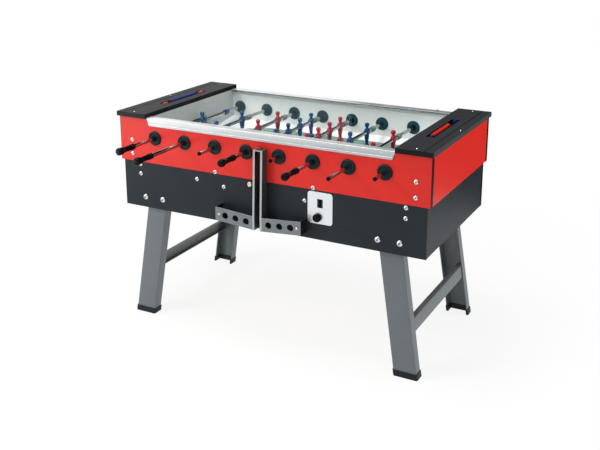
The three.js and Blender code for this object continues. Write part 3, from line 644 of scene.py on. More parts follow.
def strip_laminate():
    # White laminate of the sloping strips: bright, with faint grey ball marks.
    finish, tree, place = new_finish("White strip laminate")
    hits = add(tree, "ShaderNodeTexNoise", {"Vector": place, "Scale": 1 / (22 * MM), "Detail": 6})
    marks = add(tree, "ShaderNodeMapRange", {"Value": hits, "From Min": 0.6, "From Max": 0.72, "To Max": 0.35})
    tone = add(tree, "ShaderNodeMix", {0: marks, 6: linear("#F6F8F7"), 7: linear("#D9DDDB")}, data_type="RGBA")
    dulled = add(tree, "ShaderNodeMapRange", {"Value": marks, "To Min": 0.22, "To Max": 0.4})
    return surfaced(finish, {"Base Color": tone, "Roughness": dulled})


def clear_glass():
    # Toughened float glass: clear, a faint green in its thickness and sharp reflections.
    finish, _, _ = new_finish("Toughened glass")
    return surfaced(finish, {
        "Base Color": linear("#3FA9BC"), "Roughness": 0.02, "Transmission Weight": 1.0, "IOR": 1.45,
        "Specular Tint": linear("#78C0CE"), "Alpha": 0.022})


def aluminium(name, base, roughness, metallic):
    # Silver anodised extrusion: fine die lines along its length under a satin sheen.
    finish, tree, place = new_finish(name)
    drawn = add(tree, "ShaderNodeMapping", {"Vector": place, "Scale": (0.01, 1, 1)})
    lines = add(tree, "ShaderNodeTexNoise", {"Vector": drawn, "Scale": 1 / (1.2 * MM), "Detail": 3})
    broad = add(tree, "ShaderNodeMapping", {"Vector": place, "Scale": (0.05, 1, 1)})
    bands = add(tree, "ShaderNodeTexNoise", {"Vector": broad, "Scale": 1 / (11 * MM), "Detail": 2})
    band = add(tree, "ShaderNodeMapRange", {"Value": bands, "From Min": 0.38, "From Max": 0.62})
    tone = add(tree, "ShaderNodeMix", {0: band, 6: shade(base, 0.9), 7: shade(base, 1.05)}, data_type="RGBA")
    lined = add(tree, "ShaderNodeMix", {0: lines, 6: shade(base, 0.95), 7: tone}, data_type="RGBA")
    cloud = add(tree, "ShaderNodeTexNoise", {"Vector": place, "Scale": 1 / (70 * MM), "Detail": 3})
    sheen = add(tree, "ShaderNodeMapRange", {
        "Value": cloud, "From Min": 0.3, "From Max": 0.7, "To Min": roughness - 0.06, "To Max": roughness + 0.06})
    scored = add(tree, "ShaderNodeBump", {"Height": lines, "Distance": 0.05 * MM, "Strength": 0.4})
    return surfaced(finish, {"Base Color": lined, "Metallic": metallic, "Roughness": sheen, "Normal": scored})


def drawn_aluminium():
    return aluminium("Anodised aluminium", linear("#B9BCBE"), 0.44, metallic=1.0)


def highlighted_aluminium():
    # Painted highlight: the tops of a rail and its inner lip are almost white.
    return aluminium("Rubbed anodised aluminium", linear("#F4F6F7"), 0.36, metallic=0.8)


def chromed_steel():
    # Chrome plate on steel tube: a hard mirror with hairline scratches round the rod.
    return mottled("Chromed steel tube", linear("#B4B7B9"), cloud=(0.8, 3), stretch=(1, 3, 1),
                   sheen=(0.05, 0.12), spread=(0.35, 0.7), relief=(0.02, 0.25), inputs={"Metallic": 1.0})


def moulded(name, base, roughness, gloss=0.15, peel_mm=1.2, depth=0.06):
    # Injection-moulded plastic: an even colour, a soft highlight and a faint orange-peel skin.
    return mottled(name, tones(base, 0.88, 1.12), cloud=(25, 3), fine=(peel_mm, 2),
                   sheen=(roughness - 0.05, roughness + 0.06), relief=(depth, 0.35),
                   inputs={"Specular IOR Level": gloss})


def blue_plastic():
    return moulded("Blue moulded ABS", chosen("blue_men"), 0.33)


def red_plastic():
    return moulded("Red moulded ABS", chosen("red_men"), 0.33)


def blue_fitting():
    return moulded("Blue counter plastic", chosen("blue_fittings"), 0.3)


def red_fitting():
    return moulded("Red counter plastic", chosen("red_fittings"), 0.3)


def bearing_plastic():
    return moulded("Black glass-filled nylon", linear("#1B2628"), 0.36, gloss=0.12, peel_mm=0.9, depth=0.08)


def disc_plastic():
    # The discs inside are black nylon; the blue-green in their colour is painted reflection of the cover and the
    # field.
    return moulded("Black glass-filled nylon under glass", linear("#264850"), 0.4, gloss=0.1, peel_mm=0.9,
                   depth=0.08)


def bush_nylon():
    return moulded("Black nylon", linear("#0B0D12"), 0.3, gloss=0.06)


def foot_plastic():
    return moulded("Black moulded polypropylene", linear("#1F2326"), 0.5, peel_mm=1.4, depth=0.15)


def coin_plastic():
    return moulded("Dark coin entry plastic", linear("#171C26"), 0.35)


def stop_rubber():
    # Grey moulded rubber: dull, faintly mottled, with a dusty bloom on the surface.
    return mottled("Grey rubber", tones(linear("#75837E"), 0.82, 1.18), cloud=(5, 4), sheen=0.7,
                   relief=(0.2, 0.4))


def grip_resin():
    # Compression-moulded phenolic resin: near black and polished, duller where hands rub it.
    return mottled("Black phenolic resin", tones(linear("#080809"), 0.8, 1.35), cloud=(18, 4),
                   sheen=(0.08, 0.2), spread=(0.35, 0.7), inputs={"Specular IOR Level": 0.1})


def leg_paint():
    # Baked powder coat on folded steel: an even satin grey with a fine orange-peel surface.
    return mottled("Grey powder-coated steel", tones(chosen("leg_paint"), 0.93, 1.07), cloud=(110, 3),
                   fine=(3, 2), sheen=(0.36, 0.5), relief=(0.12, 0.4), inputs={"Specular IOR Level": 0.3})


def hammered(name, base, metallic=0.35):
    # Hammer-finish enamel: silvery dimples 4 mm across with darker rims between them.
    finish, tree, place = new_finish(name)
    cells = add(tree, "ShaderNodeTexVoronoi", {"Vector": place, "Scale": 1 / (4.5 * MM), "Randomness": 0.9},
                feature="SMOOTH_F1")
    rims = add(tree, "ShaderNodeMapRange", {"Value": cells, "From Min": 0.1, "From Max": 0.6})
    tone = add(tree, "ShaderNodeMix", {0: rims, 6: shade(base, 1.14), 7: shade(base, 0.84)}, data_type="RGBA")
    sheen = add(tree, "ShaderNodeMapRange", {"Value": cells, "From Max": 0.7, "To Min": 0.26, "To Max": 0.46})
    dimples = add(tree, "ShaderNodeBump", {"Height": cells, "Distance": 0.35 * MM, "Strength": 0.5})
    return surfaced(finish, {"Base Color": tone, "Metallic": metallic, "Roughness": sheen, "Normal": dimples})


def hammered_paint():
    return hammered("Hammered grey enamel", chosen("guard_paint"))


def highlighted_paint():
    # Painted highlight: the edges that face the light are paler than the plates behind them.
    return hammered("Rubbed grey enamel", linear("#AEB4B7"))


def shaded_paint():
    # Painted shade on the side faces: the same dimples in a charcoal tone, as little light comes back there.
    return hammered("Charcoal hammered enamel", linear("#3B3F41"), metallic=0.05)


def tray_shade_paint():
    # Painted shade: near-black on the ball tray behind the wings, scuffed a little by the balls.
    return mottled("Matt black enamel", (linear("#101214"), linear("#1E2123")), cloud=(12, 5),
                   sheen=(0.5, 0.7), inputs={"Specular IOR Level": 0.1})


def brushed_stainless():
    # Brushed stainless sheet: pale silver with fine vertical brush lines.
    return mottled("Brushed stainless steel", tones(linear("#EAEEF0"), 0.86, 1.0), cloud=(0.9, 3),
                   stretch=(1, 1, 0.02), sheen=(0.26, 0.42), relief=(0.04, 0.4), inputs={"Metallic": 1.0})


def zinc_plate():
    # Zinc-plated steel: bright silver with a faintly mottled, slightly soft reflection.
    return mottled("Zinc-plated steel", tones(linear("#E2E4E5"), 0.88, 1.0), cloud=(2.5, 3), sheen=(0.1, 0.24),
                   inputs={"Metallic": 1.0})


def socket_shade():
    # The bottom of a hexagon socket: dark grey for the painted shade in the recess, faintly mottled.
    return mottled("Oiled steel socket", (linear("#14171A"), linear("#33383C")), cloud=(1.5, 3), sheen=0.6,
                   inputs={"Specular IOR Level": 0.1})


def lock_brass():
    # Satin brass plate on a cam lock: pale gold with fine turning marks.
    return mottled("Satin brass", linear("#E6D3B2"), cloud=(0.7, 3), sheen=(0.2, 0.36), relief=(0.03, 0.3),
                   inputs={"Metallic": 1.0})


def bare_plywood():
    # Uncoated poplar plywood: straw-coloured, with long soft grain and small darker pores.
    finish, tree, place = new_finish("Bare poplar plywood")
    along = add(tree, "ShaderNodeMapping", {"Vector": place, "Scale": (0.07, 1, 1)})
    rings = add(tree, "ShaderNodeTexNoise", {"Vector": along, "Scale": 1 / (7 * MM), "Detail": 5})
    grain = add(tree, "ShaderNodeMapRange", {"Value": rings, "From Min": 0.35, "From Max": 0.68})
    wood = add(tree, "ShaderNodeMix", {0: grain, 6: linear("#CDB083"), 7: linear("#A98455")}, data_type="RGBA")
    fine = add(tree, "ShaderNodeMapping", {"Vector": place, "Scale": (0.12, 1, 1)})
    pores = add(tree, "ShaderNodeTexNoise", {"Vector": fine, "Scale": 1 / (1.6 * MM), "Detail": 3})
    dots = add(tree, "ShaderNodeMapRange", {"Value": pores, "From Min": 0.62, "From Max": 0.72, "To Max": 0.5})
    tone = add(tree, "ShaderNodeMix", {0: dots, 6: wood, 7: linear("#7D5C37")}, data_type="RGBA")
    open_grain = add(tree, "ShaderNodeBump", {"Height": pores, "Distance": 0.15 * MM, "Strength": 0.5})
    return surfaced(finish, {"Base Color": tone, "Roughness": 0.7, "Normal": open_grain})


# ---------------------------------------------------------------- playing box

class TABLE_OT_playing_box(bpy.types.Operator):
    """Builds the red side boards of the playing box, pale inside, with black edging at the ends"""
    bl_idname = "foosball.playing_box"
    bl_label = "Playing box"

    def execute(self, context):
        for row, side in SIDES:
            self.long_board(f"upper_{row}_panel", side, context.scene.table_sizes)
        for end, _ in ENDS:
            panel_board(f"{end}_upper_end_panel", red_laminate, "red_laminate")
            self.goal_wall(f"{end}_goal_wall")
        refinish("playfield", field_laminate)
        self.field_strips()
        return {"FINISHED"}

    def long_board(self, node, side, sizes):
        """A side board, bored for the rods, with a strip of edging on each end."""
        low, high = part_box(node)
        outer = (high.y if side > 0 else -low.y) - sizes.bearing_proud
        inner, end = outer - sizes.board_thick, high.x - sizes.edging
        holes = [circle(rod.x, rod.z, sizes.bearing_disc * BORE_SHARE) for rod in RODS]
        shape = bmesh.new()
        board(shape, rectangle(-end, end, low.z, high.z), holes, side * outer, side * inner, in_xz)
        painted(shape, lambda centre, normal: 1 if normal.y * side < -0.5 else 0)
        made(shape, node + "_board", [red_laminate, wall_laminate], stands_for=node, slot="red_laminate",
             edge=0.5 * MM)
        strips = bmesh.new()
        for x in (-1, 1):
            slab(strips, (x * end, side * outer, low.z), (x * high.x, side * inner, high.z))
        made(strips, node + "_edging", [edging_plastic], slot="black_laminate", edge=BOARD_EDGE)

    def goal_wall(self, node):
        """The pale end wall with the goal mouth cut out of its foot."""
        low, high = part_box(node)
        half, top = 100 * MM, low.z + 76 * MM
        outline = [(low.y, low.z), (-half, low.z), (-half, top), (half, top), (half, low.z),
                   (high.y, low.z), (high.y, high.z), (low.y, high.z)]
        shape = bmesh.new()
        board(shape, outline, [], low.x, high.x, in_yz)
        made(shape, node + "_board", [shaded_goal_laminate], stands_for=node, slot="inner_wall", edge=BOARD_EDGE)

    def field_strips(self):
        """White slopes laid on the field: along the long walls, and higher ones in the corners."""
        field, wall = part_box("left_goal_wall")[0].z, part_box("playfield")[1].y
        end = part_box("right_goal_wall")[0].x
        thick, width, rise = 0.6 * MM, 45 * MM, 20 * MM
        along, across, lift = 295 * MM, 207 * MM, 30 * MM
        section = [(wall - width, field), (wall, field), (wall, field + rise), (wall - width, field + thick)]
        tops = (field + lift, field + thick, field + thick)
        shape = bmesh.new()
        for side in (-1, 1):
            skin(shape, [[(x, side * y, z) for y, z in section] for x in (-end, end)])
            for x in (-1, 1):
                corner = [(x * end, side * wall), (x * (end - along), side * wall),
                          (x * end, side * (wall - across))]
                skin(shape, [[(*point, z) for point, z in zip(corner, tops)],
                             [(*point, field) for point in corner]])
        made(shape, "field_strips", [strip_laminate], slot="field", crease=20)


class TABLE_OT_bearings(bpy.types.Operator):
    """Builds the black bearing flanges with their inner discs, one for each rod on both sides"""
    bl_idname = "foosball.bearings"
    bl_label = "Bearings"

    def execute(self, context):
        sizes = context.scene.table_sizes
        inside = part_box("upper_back_panel")[0].y + 1 * MM
        # a rod runs in a bush on the side where it is played, and bare on the other
        for bore, way in ((sizes.bush_radius, 1), (sizes.rod_radius, -1)):
            master = self.flange(bore / MM + 0.4, sizes)
            for rod in RODS:
                row, turn = ("front", 0) if rod.side * way < 0 else ("back", math.pi)
                mesh = row_of(master, 1, (rod.x, 0, rod.z), (0, 0, 0), bearing_plastic, (0, 0, turn))
                # The inner discs get the finish with the painted reflection.
                mesh.materials.append(finish_of(disc_plastic))
                for polygon in mesh.polygons:
                    polygon.material_index = int(abs(polygon.center.y) < inside)
                fitted(mesh, f"{row}_bearing_{rod.number}", slot="nylon", crease=28)
            bpy.data.objects.remove(master)
        return {"FINISHED"}

    def flange(self, bore, sizes):
        """A dished flange with a raised rim, its spigot through the board and the inner disc."""
        rim, disc, boss = sizes.bearing_radius / MM, sizes.bearing_disc / MM, sizes.bush_radius / MM + 3.5
        spigot, near = disc * SPIGOT_SHARE, sizes.bearing_proud / MM
        far = near + sizes.board_thick / MM
        profile = [
            (bore, 0.6), (bore + 0.6, 0), (boss - 0.8, 0), (boss, 0.8), (boss + 0.6, 3.2), (rim - 7.5, 2.6),
            (rim - 6.4, 0.6), (rim - 5.4, 0.1), (rim - 3.6, 0.5), (rim - 1.4, 2.2), (rim - 0.3, 4.4),
            (rim, 6.4), (rim, near), (spigot, near), (spigot, far), (disc, far), (disc, far + 1.8),
            (disc - 1.2, far + 3), (disc - 6, far + 3), (disc - 7.5, far + 2.2), (boss, far + 2.2),
            (boss - 0.6, far + 3), (bore, far + 3)]
        shape = bmesh.new()
        turned(shape, profile, 48, start=-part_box("upper_back_panel")[1].y, looped=True)
        return pattern(shape, "bearing")


class TABLE_OT_glass(bpy.types.Operator):
    """Builds the glass cover and the two aluminium rails that hold it"""
    bl_idname = "foosball.glass"
    bl_label = "Glass and rails"

    def execute(self, context):
        sizes = context.scene.table_sizes
        shape = bmesh.new()
        slab(shape, *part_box("glass_pane"))
        made(shape, "glass_cover", [clear_glass], stands_for="glass_pane", slot="glass", edge=0.6 * MM)
        for row, side in SIDES:
            self.rail(f"{row}_glass_rail", side, sizes.rail_wall, sizes.rail_end_cut)
        return {"FINISHED"}

    def rail(self, node, side, wall, end_cut):
        """A rail's section, drawn along the table and cut back at its ends, and the seal on the glass."""
        low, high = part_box(node)
        pane_low, pane_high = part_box("glass_pane")
        inner, outer = sorted((abs(low.y), abs(high.y)))
        gap, lip, groove = 0.3 * MM, 2 * MM, 0.8 * MM
        below, above = pane_low.z - gap, pane_high.z + gap
        web = abs(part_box("upper_front_panel")[1].y) + 3 * MM - gap
        corner = 2 * MM if side < 0 else 0.7 * MM
        section = [
            (outer, low.z), (outer, low.z + 9 * MM), (outer - groove, low.z + 9.6 * MM),
            (outer - groove, low.z + 11 * MM), (outer, low.z + 11.6 * MM), (outer, high.z - corner),
            (outer - 0.3 * corner, high.z - 0.3 * corner), (outer - corner, high.z), (inner, high.z),
            (inner, above), (web - wall, above), (web - wall, below), (inner, below), (inner, below - lip),
            (web, below - lip), (web, high.z - wall), (outer - wall, high.z - wall), (outer - wall, low.z)]

        def cut_back(z):
            return high.x - end_cut * ((high.z - z) / (high.z - low.z))

        shape = bmesh.new()
        skin(shape, [[(end * cut_back(z), side * y, z) for y, z in section] for end in (-1, 1)], capped=False)
        for end in (-1, 1):
            rim = [edge for edge in shape.edges if all(v.co.x * end > 0 for v in edge.verts)]
            bmesh.ops.triangle_fill(shape, use_beauty=True, edges=rim)
        # Painted highlight: the top faces and the inner lip take the paler aluminium.
        painted(shape, lambda centre, normal: 1 if normal.z > 0.5 or abs(centre.y) < inner + 1e-5 else 0)
        made(shape, node + "_section", [drawn_aluminium, highlighted_aluminium], stands_for=node,
             slot="aluminium_rail", edge=0.35 * MM)
        # A black rubber seal along the glass, whose dark line is partly the painted shade of the gap between glass
        # and rail.
        top, seal_high, seal_wide, seal_slope = pane_high.z, 1.8 * MM, 0.6 * MM, 1 * MM
        seal = [(inner - seal_wide - seal_slope, top), (inner, top), (inner, top + seal_high),
                (inner - seal_wide, top + seal_high)]
        shape = bmesh.new()
        skin(shape, [[(x, side * y, z) for y, z in seal] for x in (pane_low.x, pane_high.x)])
        made(shape, node + "_seal", [foot_plastic], slot="aluminium_rail", edge=0.2 * MM)


class TABLE_OT_top_boards(bpy.types.Operator):
    """Builds the two dark top boards with their groove, recess and black edges"""
    bl_idname = "foosball.top_boards"
    bl_label = "Top boards"

    def execute(self, context):
        for end, sign in ENDS:
            self.top_board(end, sign, context.scene.table_sizes)
        return {"FINISHED"}

    def top_board(self, end, sign, sizes):
        low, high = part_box(f"{end}_top_board")
        counter_low, counter_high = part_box(f"{end}_counter_frame")
        centre, recess_half = middle(f"{end}_counter_frame").x, 17 * MM
        outer = high.x if sign > 0 else low.x
        groove = sorted((outer - sign * sizes.groove_inset,
                         outer - sign * (sizes.groove_inset - sizes.groove_width)))
        recess = [centre - recess_half, centre + recess_half]
        xs = sorted([low.x, high.x, *groove, *recess])

        def height(i, j):
            if xs[i] == groove[0]:
                return high.z - sizes.groove_depth
            return counter_low.z if xs[i] == recess[0] and j == 1 else high.z

        def finish(centre, normal):
            """0 on the top face, 2 on the outermost edge, which gets the painted sheen, and 1 on the others and in
            the recesses.
            """
            if normal.z > 0.5 and centre.z > high.z - 1e-4:
                return 0
            return 2 if abs(centre.x - outer) < 1e-5 else 1

        shape = bmesh.new()
        relief(shape, xs, [low.y, counter_low.y, counter_high.y, high.y], height, low.z)
        painted(shape, finish)
        made(shape, f"{end}_top_board_grained", [top_laminate, edging_plastic, highlighted_edging],
             stands_for=f"{end}_top_board", slot="top_board", edge=1.0 * MM)


# ---------------------------------------------------------------- base

def coin_window(half_width, half_height, corner=0.0):
    """An opening about the middle of the coin plate's window."""
    low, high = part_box("coin_unit")
    x, z = (low.x + high.x) / 2, high.z - 46 * MM
    return rounded(rectangle(x - half_width, x + half_width, z - half_height, z + half_height), corner, 3)


class TABLE_OT_base(bpy.types.Operator):
    """Builds the black boards of the base, with the ball outlet at the back and the guard's bosses in front"""
    bl_idname = "foosball.base"
    bl_label = "Base"

    def execute(self, context):
        thick, knob = context.scene.table_sizes.board_thick, middle("coin_knob")
        self.long_board("front", -1, thick, [coin_window(12.5 * MM, 18.5 * MM),
                                             circle(knob.x, knob.z, 6.5 * MM, 24)])
        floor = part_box("lower_back_panel")[0].z
        outlet = rectangle(-100 * MM, 100 * MM, floor + 69.5 * MM, floor + 141.5 * MM)
        self.long_board("back", 1, thick, [rounded(outlet, 6 * MM)])
        for end, _ in ENDS:
            panel_board(f"{end}_lower_end_panel", black_laminate, "black_laminate")
        refinish("cabinet_floor", bare_plywood)
        refinish("ball_chute", bare_plywood)
        self.bosses()
        return {"FINISHED"}

    def long_board(self, row, side, thick, holes):
        node, face = f"lower_{row}_panel", base_face()
        low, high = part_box(node)
        shape = bmesh.new()
        board(shape, rectangle(low.x, high.x, low.z, high.z), holes, side * face, side * (face - thick), in_xz)
        painted(shape, lambda centre, normal: int(abs(normal.x) > 0.9 and abs(centre.x) > high.x - 1e-4))
        made(shape, f"lower_{row}_board", [black_laminate, edging_plastic], stands_for=node,
             slot="black_laminate", edge=BOARD_EDGE)

    def bosses(self):
        """Round spacers between the base and the ends of the guard."""
        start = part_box("lower_front_panel")[0].y
        span = (-base_face() - start) / MM
        shape = bmesh.new()
        for x in (-GUARD_SCREW_X, GUARD_SCREW_X):
            turned(shape, [(17.5, 0.2), (19, 1.6), (19, span - 2), (20, span - 1), (20, span)], 40,
                   x, guard_screw_height(), start)
        made(shape, "guard_bosses", [bearing_plastic], slot="black_laminate", crease=28)


# ---------------------------------------------------------------- legs

def splay(end, width):
    """How far the legs at an end lean outwards for each metre up. It is negative, as their feet stand wider."""
    low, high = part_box(f"{end}_front_leg")
    near, far = sorted((abs(low.x), abs(high.x)))
    return (near - far + width) / (high.z - low.z)


class TABLE_OT_legs(bpy.types.Operator):
    """Builds the splayed channel legs with their feet and the braces between them"""
    bl_idname = "foosball.legs"
    bl_label = "Legs"

    def execute(self, context):
        sizes = context.scene.table_sizes
        for end, x_side in ENDS:
            lean = splay(end, sizes.leg_width)
            for row, y_side in SIDES:
                self.leg(f"{end}_{row}", x_side, y_side, lean, sizes)
            self.brace(end, x_side, lean)
        return {"FINISHED"}

    def leg(self, name, x_side, y_side, lean_x, sizes):
        """A folded channel that leans both ways, and the moulded shoe on its foot."""
        folded = sizes.leg_width, sizes.leg_flange, sizes.leg_steel, sizes.leg_bend
        low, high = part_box(name + "_leg")
        foot_low, foot_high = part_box(name + "_foot")
        far_x = max(abs(low.x), abs(high.x)) - sizes.leg_width / 2
        near_y, far_y = sorted((abs(low.y), abs(high.y)))
        lean_y = (near_y + sizes.leg_flange - far_y) / (high.z - low.z)

        def place(u, v, z):
            up = z - low.z
            return (x_side * (far_x + u + lean_x * up), y_side * (far_y - v + lean_y * up), z)

        shape = bmesh.new()
        board(shape, channel(*folded), [], low.z, high.z, place)
        made(shape, name + "_leg_channel", [leg_paint], stands_for=name + "_leg", slot="grey_steel", crease=30)
        outer, socket, sole = channel(*folded, grow=2.8 * MM), channel(*folded, grow=0.2 * MM), 5 * MM
        shape = bmesh.new()
        board(shape, outer, [], foot_low.z, foot_low.z + sole, place)
        board(shape, outer, [socket], foot_low.z + sole, foot_high.z, place)
        made(shape, name + "_foot_shoe", [foot_plastic], stands_for=name + "_foot", slot="foot_plastic",
             crease=30)

    def brace(self, end, side, lean):
        """A rolled channel between the front and back leg, with its flanges inwards."""
        low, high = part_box(f"{end}_leg_brace")
        outer = max(abs(low.x), abs(high.x))
        flange, steel, bend, tip = 22 * MM, 3 * MM, 5 * MM, 0.5 * MM
        outline = rounded(
            [(0, low.z), (0, high.z), (-flange, high.z), (-flange, high.z - steel), (-steel, high.z - steel),
             (-steel, low.z + steel), (-flange, low.z + steel), (-flange, low.z)],
            [bend, bend, tip, tip, bend - steel, bend - steel, tip, tip])

        def place(x, z, y):
            return (side * (outer + x + lean * (z - low.z)), y, z)

        shape = bmesh.new()
        board(shape, outline, [], low.y, high.y, place)
        made(shape, f"{end}_brace_channel", [leg_paint], stands_for=f"{end}_leg_brace", slot="grey_steel",
             crease=30)


# ---------------------------------------------------------------- guard, coin unit and lock

class TABLE_OT_guard(bpy.types.Operator):
    """Builds the folded steel guard with its drilled wings"""
    bl_idname = "foosball.guard"
    bl_label = "Guard"

    def execute(self, context):
        low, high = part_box("guard_bar")
        plate, half, top_depth = 5 * MM, 21 * MM, 36 * MM
        inner = half - 8.5 * MM

        def foot(x):
            return low.z + GUARD_RISE * (x - inner) / (high.x - inner)

        shape = bmesh.new()
        for side in (-1, 1):
            upright = [(high.y, low.z), (high.y, high.z), (high.y - top_depth, high.z),
                       (low.y, low.z + GUARD_WING), (low.y, low.z)]
            board(shape, upright, [], side * inner, side * half, in_yz)
            wing = [(side * half, foot(half)), (side * high.x, foot(high.x)),
                    (side * high.x, foot(high.x) + GUARD_WING), (side * half, foot(half) + GUARD_WING)]
            holes = [circle(side * x, foot(x) + GUARD_WING / 2, 14 * MM, 32)
                     for x in (52 * MM, 101.5 * MM, 151 * MM)]
            board(shape, rounded(wing, [0, 3 * MM, 3 * MM, 0], 3), holes, low.y, low.y + plate, in_xz)
        slab(shape, (-inner, high.y - top_depth, high.z - plate), (inner, high.y, high.z))

        def finish(centre, normal):
            """1 on the edges with a painted highlight, 2 on the sides with painted shade and 0 elsewhere."""
            on_wing = abs(centre.x) > half
            if (normal.z > 0.6 and on_wing) or (normal.y < -0.6 and not on_wing):
                return 1
            return 2 if abs(normal.x) > 0.7 else 0

        painted(shape, finish)
        made(shape, "guard_plates", [hammered_paint, highlighted_paint, shaded_paint], stands_for="guard_bar",
             slot="hammered_steel", edge=0.9 * MM)
        self.tray(low, high, low.y + plate, half)
        return {"FINISHED"}

    def tray(self, low, high, near, half):
        """The floor and ends behind the wings, where the balls come to rest, near-black for the painted shade there.
        """
        far, sheet, end_foot = -base_face(), 2 * MM, low.z + GUARD_RISE
        shape = bmesh.new()
        for side in (-1, 1):
            floor = [(side * half, low.z), (side * high.x, end_foot), (side * high.x, end_foot + sheet),
                     (side * half, low.z + sheet)]
            end = [(side * high.x, end_foot + sheet), (side * high.x, end_foot + GUARD_WING),
                   (side * (high.x - sheet), end_foot + GUARD_WING), (side * (high.x - sheet), end_foot + sheet)]
            for outline in (floor, end):
                board(shape, outline, [], near, far, in_xz)
        made(shape, "ball_tray", [tray_shade_paint], slot="hammered_steel", edge=0.3 * MM)


class TABLE_OT_coin_unit(bpy.types.Operator):
    """Builds the stainless coin plate with its slot and knob, and the brass cam lock"""
    bl_idname = "foosball.coin_unit"
    bl_label = "Coin unit and lock"

    def execute(self, context):
        low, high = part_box("coin_unit")
        centre, knob, face = (low + high) / 2, middle("coin_knob"), -base_face()
        shape = bmesh.new()
        board(shape, rounded(rectangle(low.x, high.x, low.z, high.z), 14 * MM, 8),
              [coin_window(12 * MM, 18 * MM, 2 * MM), circle(knob.x, knob.z, 6.6 * MM, 24)], low.y, face, in_xz)
        made(shape, "coin_plate", [brushed_stainless], stands_for="coin_unit", slot="stainless_plate",
             edge=0.7 * MM)
        shape = bmesh.new()
        board(shape, coin_window(11.8 * MM, 17.8 * MM, 2 * MM), [coin_window(3 * MM, 15 * MM, 1.4 * MM)],
              low.y + 1.2 * MM, face + 20 * MM, in_xz)
        half_width, half_height = 36 * MM, 57 * MM
        slab(shape, (centre.x - half_width, face + 20.3 * MM, centre.z - half_height),
             (centre.x + half_width, high.y, centre.z + half_height))
        made(shape, "coin_mechanism", [coin_plastic], slot="black_knob", edge=0.6 * MM)
        self.knob()
        self.lock(face)
        return {"FINISHED"}

    def knob(self):
        """A black push-and-turn knob with a domed face and fluted rim, drawn close to its plate."""
        low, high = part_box("coin_knob")
        centre, front, depth = (low + high) / 2, low.y + 8 * MM, 17
        radius, stem = (high.x - low.x) / 2 / MM, (high.y - front) / MM
        profile = [(2, 0.2), (8, 0.1), (13, 0.8), (16, 2.4), (radius, 5), (radius, depth - 4),
                   (15, depth - 1.4), (13.5, depth), (6, depth), (6, stem)]
        sides, flutes = 60, 20
        rings = []
        for r, y in profile:
            cut = 0.6 if r > 16.5 else 0.0
            ring = []
            for k in range(sides):
                a = 2 * math.pi * k / sides
                reach = (r - cut * (0.5 + 0.5 * math.cos(flutes * a))) * MM
                ring.append((centre.x + reach * math.cos(a), front + y * MM, centre.z + reach * math.sin(a)))
            rings.append(ring)
        shape = bmesh.new()
        skin(shape, rings)
        made(shape, "coin_knob_fluted", [grip_resin], body="coin_knob", stands_for="coin_knob",
             slot="black_knob", crease=35)

    def lock(self, face):
        """The plug with its key slot, in a bezel, and the cam on its inner end."""
        low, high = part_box("lock_cylinder")
        radius = (high.x - low.x) / 2
        x, z = low.x + radius, low.z + radius
        board_face, back, rim = (face - low.y) / MM, (high.y - low.y) / MM, radius / MM
        bezel = [(7, 0.6), (7.4, 0.1), (9, 0), (rim - 0.6, 1.2), (rim, 2.6), (rim, board_face), (8, board_face),
                 (8, back), (7, back)]
        key_slot = rectangle(x - 0.7 * MM, x + 0.7 * MM, z - 3.6 * MM, z + 3.6 * MM)
        cam_half, cam_thick = 6 * MM, 3 * MM
        shape = bmesh.new()
        turned(shape, bezel, 36, x, z, low.y, looped=True)
        board(shape, circle(x, z, 6.8 * MM, 36), [key_slot], low.y + 0.9 * MM, high.y, in_xz)
        slab(shape, (x - cam_half, high.y - cam_thick, z), (x + cam_half, high.y, high.z))
        made(shape, "lock_plug", [lock_brass], body="lock", stands_for="lock_cylinder", slot="brass_lock",
             crease=30)


# ---------------------------------------------------------------- score counters

class TABLE_OT_counters(bpy.types.Operator):
    """Builds the score counters: end blocks, wire and a row of beads at each end"""
    bl_idname = "foosball.counters"
    bl_label = "Score counters"

    def execute(self, context):
        sizes = context.scene.table_sizes
        self.counter("left", red_fitting, blue_fitting, "blue_beads", sizes)
        self.counter("right", blue_fitting, red_fitting, "red_beads", sizes)
        return {"FINISHED"}

    def counter(self, end, block_finish, bead_finish, bead_slot, sizes):
        low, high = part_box(f"{end}_counter_frame")
        bead_low, bead_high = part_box(f"{end}_counter_beads")
        x, z = (low.x + high.x) / 2, (bead_low.z + bead_high.z) / 2
        outline = rounded(rectangle(low.x + 4 * MM, high.x - 4 * MM, low.z, high.z - 3 * MM),
                          [0, 0, 4 * MM, 4 * MM])
        shape = bmesh.new()
        for near, far in ((low.y + 6 * MM, low.y + 34 * MM), (high.y - 34 * MM, high.y - 6 * MM)):
            board(shape, outline, [], near, far, in_xz)
        made(shape, f"{end}_counter_blocks", [block_finish], stands_for=f"{end}_counter_frame",
             slot="counter_fitting", edge=BOARD_EDGE)
        wire_start, wire_end = low.y + 33 * MM, high.y - 33 * MM
        shape = bmesh.new()
        turned(shape, [(2.5, 0), (2.5, (wire_end - wire_start) / MM)], 20, x, z, wire_start)
        made(shape, f"{end}_counter_wire", [chromed_steel], slot="counter_fitting")
        radius, bore = (bead_high.z - bead_low.z) / 2 / MM, 2.9
        rim = [(bore, 0.1), (radius - 2.2, 0.1), (radius - 0.6, 1.2), (radius, 2.8), (radius, 7.2),
               (radius - 0.9, 8.2)]
        shape = bmesh.new()
        turned(shape, both_ends(rim, sizes.bead_length / MM), 28, looped=True)
        bead = pattern(shape, "bead")
        mesh = row_of(bead, sizes.beads, (x, bead_low.y, z), (0, sizes.bead_length, 0), bead_finish)
        bpy.data.objects.remove(bead)
        fitted(mesh, f"{end}_score_beads", body=f"{end}_beads", stands_for=f"{end}_counter_beads",
               slot=bead_slot, crease=30)


# ---------------------------------------------------------------- rods

